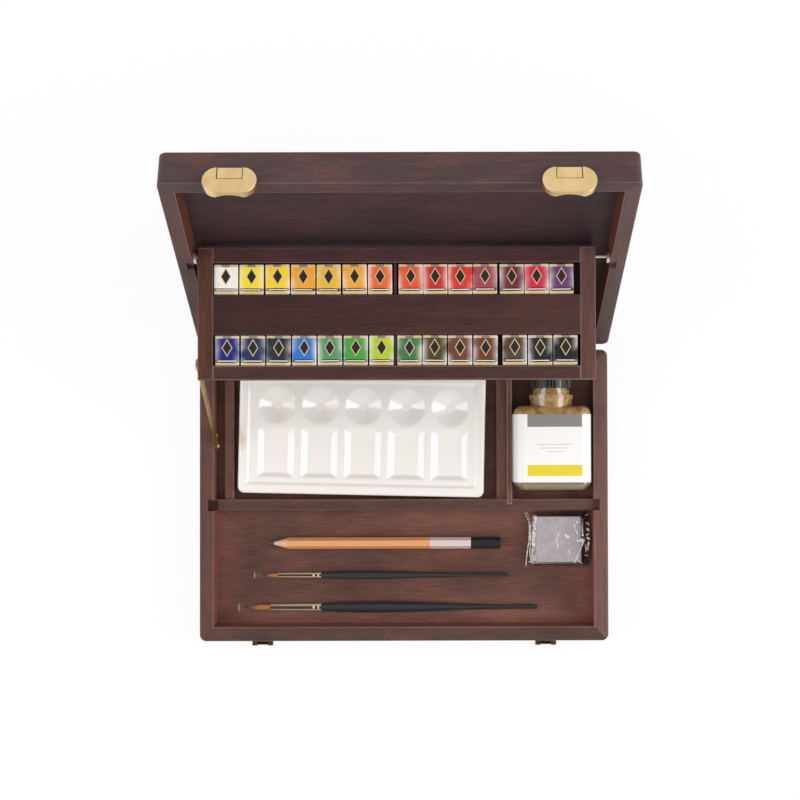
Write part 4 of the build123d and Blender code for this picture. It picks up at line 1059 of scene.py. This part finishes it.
for brush in brushes:
    low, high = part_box(f"{brush}_brush_tuft")
    centre = (low + high) / 2
    belly = (high.z - low.z) / 2
    mouth_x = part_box(f"{brush}_brush_ferrule")[0].x
    tuft_length = mouth_x - low.x
    hairs = bmesh.new()
    for index in range(hair_count):
        share = math.sqrt((index + 0.5) / hair_count)
        angle = index * golden_turn
        reach = tuft_length * (1 - shortest_share * share * chance.random())
        done = len(hairs.verts)
        hairs.from_mesh(strand_data)
        hairs.verts.ensure_lookup_table()
        for vert in hairs.verts[done:]:
            along = vert.co.z
            swell = tuft_swell["root"] + tuft_swell["belly"] * along * (1 - along)
            swell -= tuft_swell["point"] * along ** tuft_swell["power"]
            radius = belly * tuft_fill * share * max(swell, tuft_swell["least"])
            thickness = belly * hair_thickness
            vert.co = (
                mouth_x + hair_root - along * (reach + hair_root),
                centre.y + radius * math.cos(angle) + thickness * vert.co.x,
                centre.z + radius * math.sin(angle) + thickness * vert.co.y,
            )
    bmesh.ops.recalc_face_normals(hairs, faces=hairs.faces[:])
    hair, make = new_material(f"{brush}_tuft_hair")
    place = own_place(make)
    drawn = make.node("Mapping", inputs={"Vector": place, "Scale": (0.05, 1, 1)})
    warm = mix(make, fuzz(make, drawn, scale=6000.0), hue("#b0602a"), hue("#de9252"))
    tip = between((axes(place)[0] - low.x) * (1 / tuft_length), **dark_tip)
    set_shader(hair, Base_Color=mix(make, tip, warm, hue("#4c3a34")), Roughness=0.5)
    add_piece(
        f"{brush}_tuft_hairs",
        hairs,
        hair,
        f"{brush}_brush",
        [f"{brush}_brush_tuft"],
        smooth=False,
    )
bpy.data.meshes.remove(strand_data)

# The stage: a pale floor that turns white in the picture but keeps the shadow, a white studio that
# darkens overhead, and a large soft lamp low at each side.
floor_reach = 6.0
floor_drop = 0.0004
floor_glow = 0.9
floor_mesh = bmesh.new()
bmesh.ops.create_grid(floor_mesh, x_segments=1, y_segments=1, size=floor_reach)
floor_data = bpy.data.meshes.new("floor")
floor_mesh.to_mesh(floor_data)
floor_mesh.free()
floor = bpy.data.objects.new("floor", floor_data)
floor.location.z = -floor_drop
bpy.context.scene.collection.objects.link(floor)
floor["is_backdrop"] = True
floor_paint, make = new_material("floor_white")
floor_data.materials.append(floor_paint)
set_shader(floor_paint, Base_Color=(0.9, 0.9, 0.9, 1), Roughness=0.9)


def seen_rays(make):
    """1 for rays from the camera, and 1 for what gloss and glass show."""
    camera = make.node("LightPath")
    mirrored = between(camera.also("Is Glossy Ray") + camera.also("Is Transmission Ray"), 0.0, 1.0)
    return camera, mirrored


camera_ray, mirror_ray = seen_rays(make)
glow = make.node("Emission", inputs={"Color": (1, 1, 1, 1), "Strength": 1.0})
blend_shaders(make, between(camera_ray + mirror_ray, 0.0, 1.0) * floor_glow, glow)

side_light = 0.25
overhead_light = 1.25
lit_height = {"low": 0.55, "high": 1.0}
mirrored_loss = 0.72
mirrored_height = {"low": 0.66, "high": 0.84}
world = bpy.data.worlds.new("studio")
bpy.context.scene.world = world
world.use_nodes = True
make = Shade(world.node_tree)
camera_ray, mirror_ray = seen_rays(make)
height = axes(make.node("TexCoord", output="Generated"))[2]
mirrored = 1 - mirrored_loss * between(height, **mirrored_height)
soft = side_light + overhead_light * between(height, **lit_height)
strength = soft + camera_ray * (1 - soft) + mirror_ray * (mirrored - soft)
backdrop = world.node_tree.nodes["Background"]
backdrop.inputs["Color"].default_value = (1, 1, 1, 1)
world.node_tree.links.new(strength.socket, backdrop.inputs["Strength"])

lamp_aim = Vector((0, 0, 0.05))
lamp_size = 1.0


def soft_lamp(name, place, power):
    data = bpy.data.lights.new(name, "AREA")
    data.shape = "RECTANGLE"
    data.size = lamp_size
    data.size_y = lamp_size
    data.energy = power
    lamp = bpy.data.objects.new(name, data)
    lamp.location = place
    lamp.rotation_euler = (lamp_aim - Vector(place)).to_track_quat("-Z", "Y").to_euler()
    bpy.context.scene.collection.objects.link(lamp)


soft_lamp("lamp_left", (-1.55, -0.10, 1.22), power=12.0)
soft_lamp("lamp_right", (1.55, -0.10, 1.22), power=18.0)

# The camera hangs over the open box and looks almost straight down. Its axis meets the square
# picture a little to the right of the middle, and the pixels are counted from the top left.
camera_place = Vector((0.01282, 0.05379, 1.1978))
camera_tilt = math.radians(1.01)
camera_roll = math.radians(-0.139)
focal_pixels = 1592.7
picture_pixels = 800
axis_pixel = Vector((421.1, 393.9))
camera_data = bpy.data.cameras.new("camera")
camera_data.sensor_width = 36.0
camera_data.lens = camera_data.sensor_width * focal_pixels / picture_pixels
camera_data.shift_x = (picture_pixels / 2 - axis_pixel.x) / picture_pixels
camera_data.shift_y = (axis_pixel.y - picture_pixels / 2) / picture_pixels
camera_data.clip_start = 0.02
camera = bpy.data.objects.new("camera", camera_data)
camera.location = camera_place
camera.rotation_euler = (camera_tilt, 0, camera_roll)
bpy.context.scene.collection.objects.link(camera)
bpy.context.scene.camera = camera
bpy.context.scene.view_settings.view_transform = "Standard"

low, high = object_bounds()
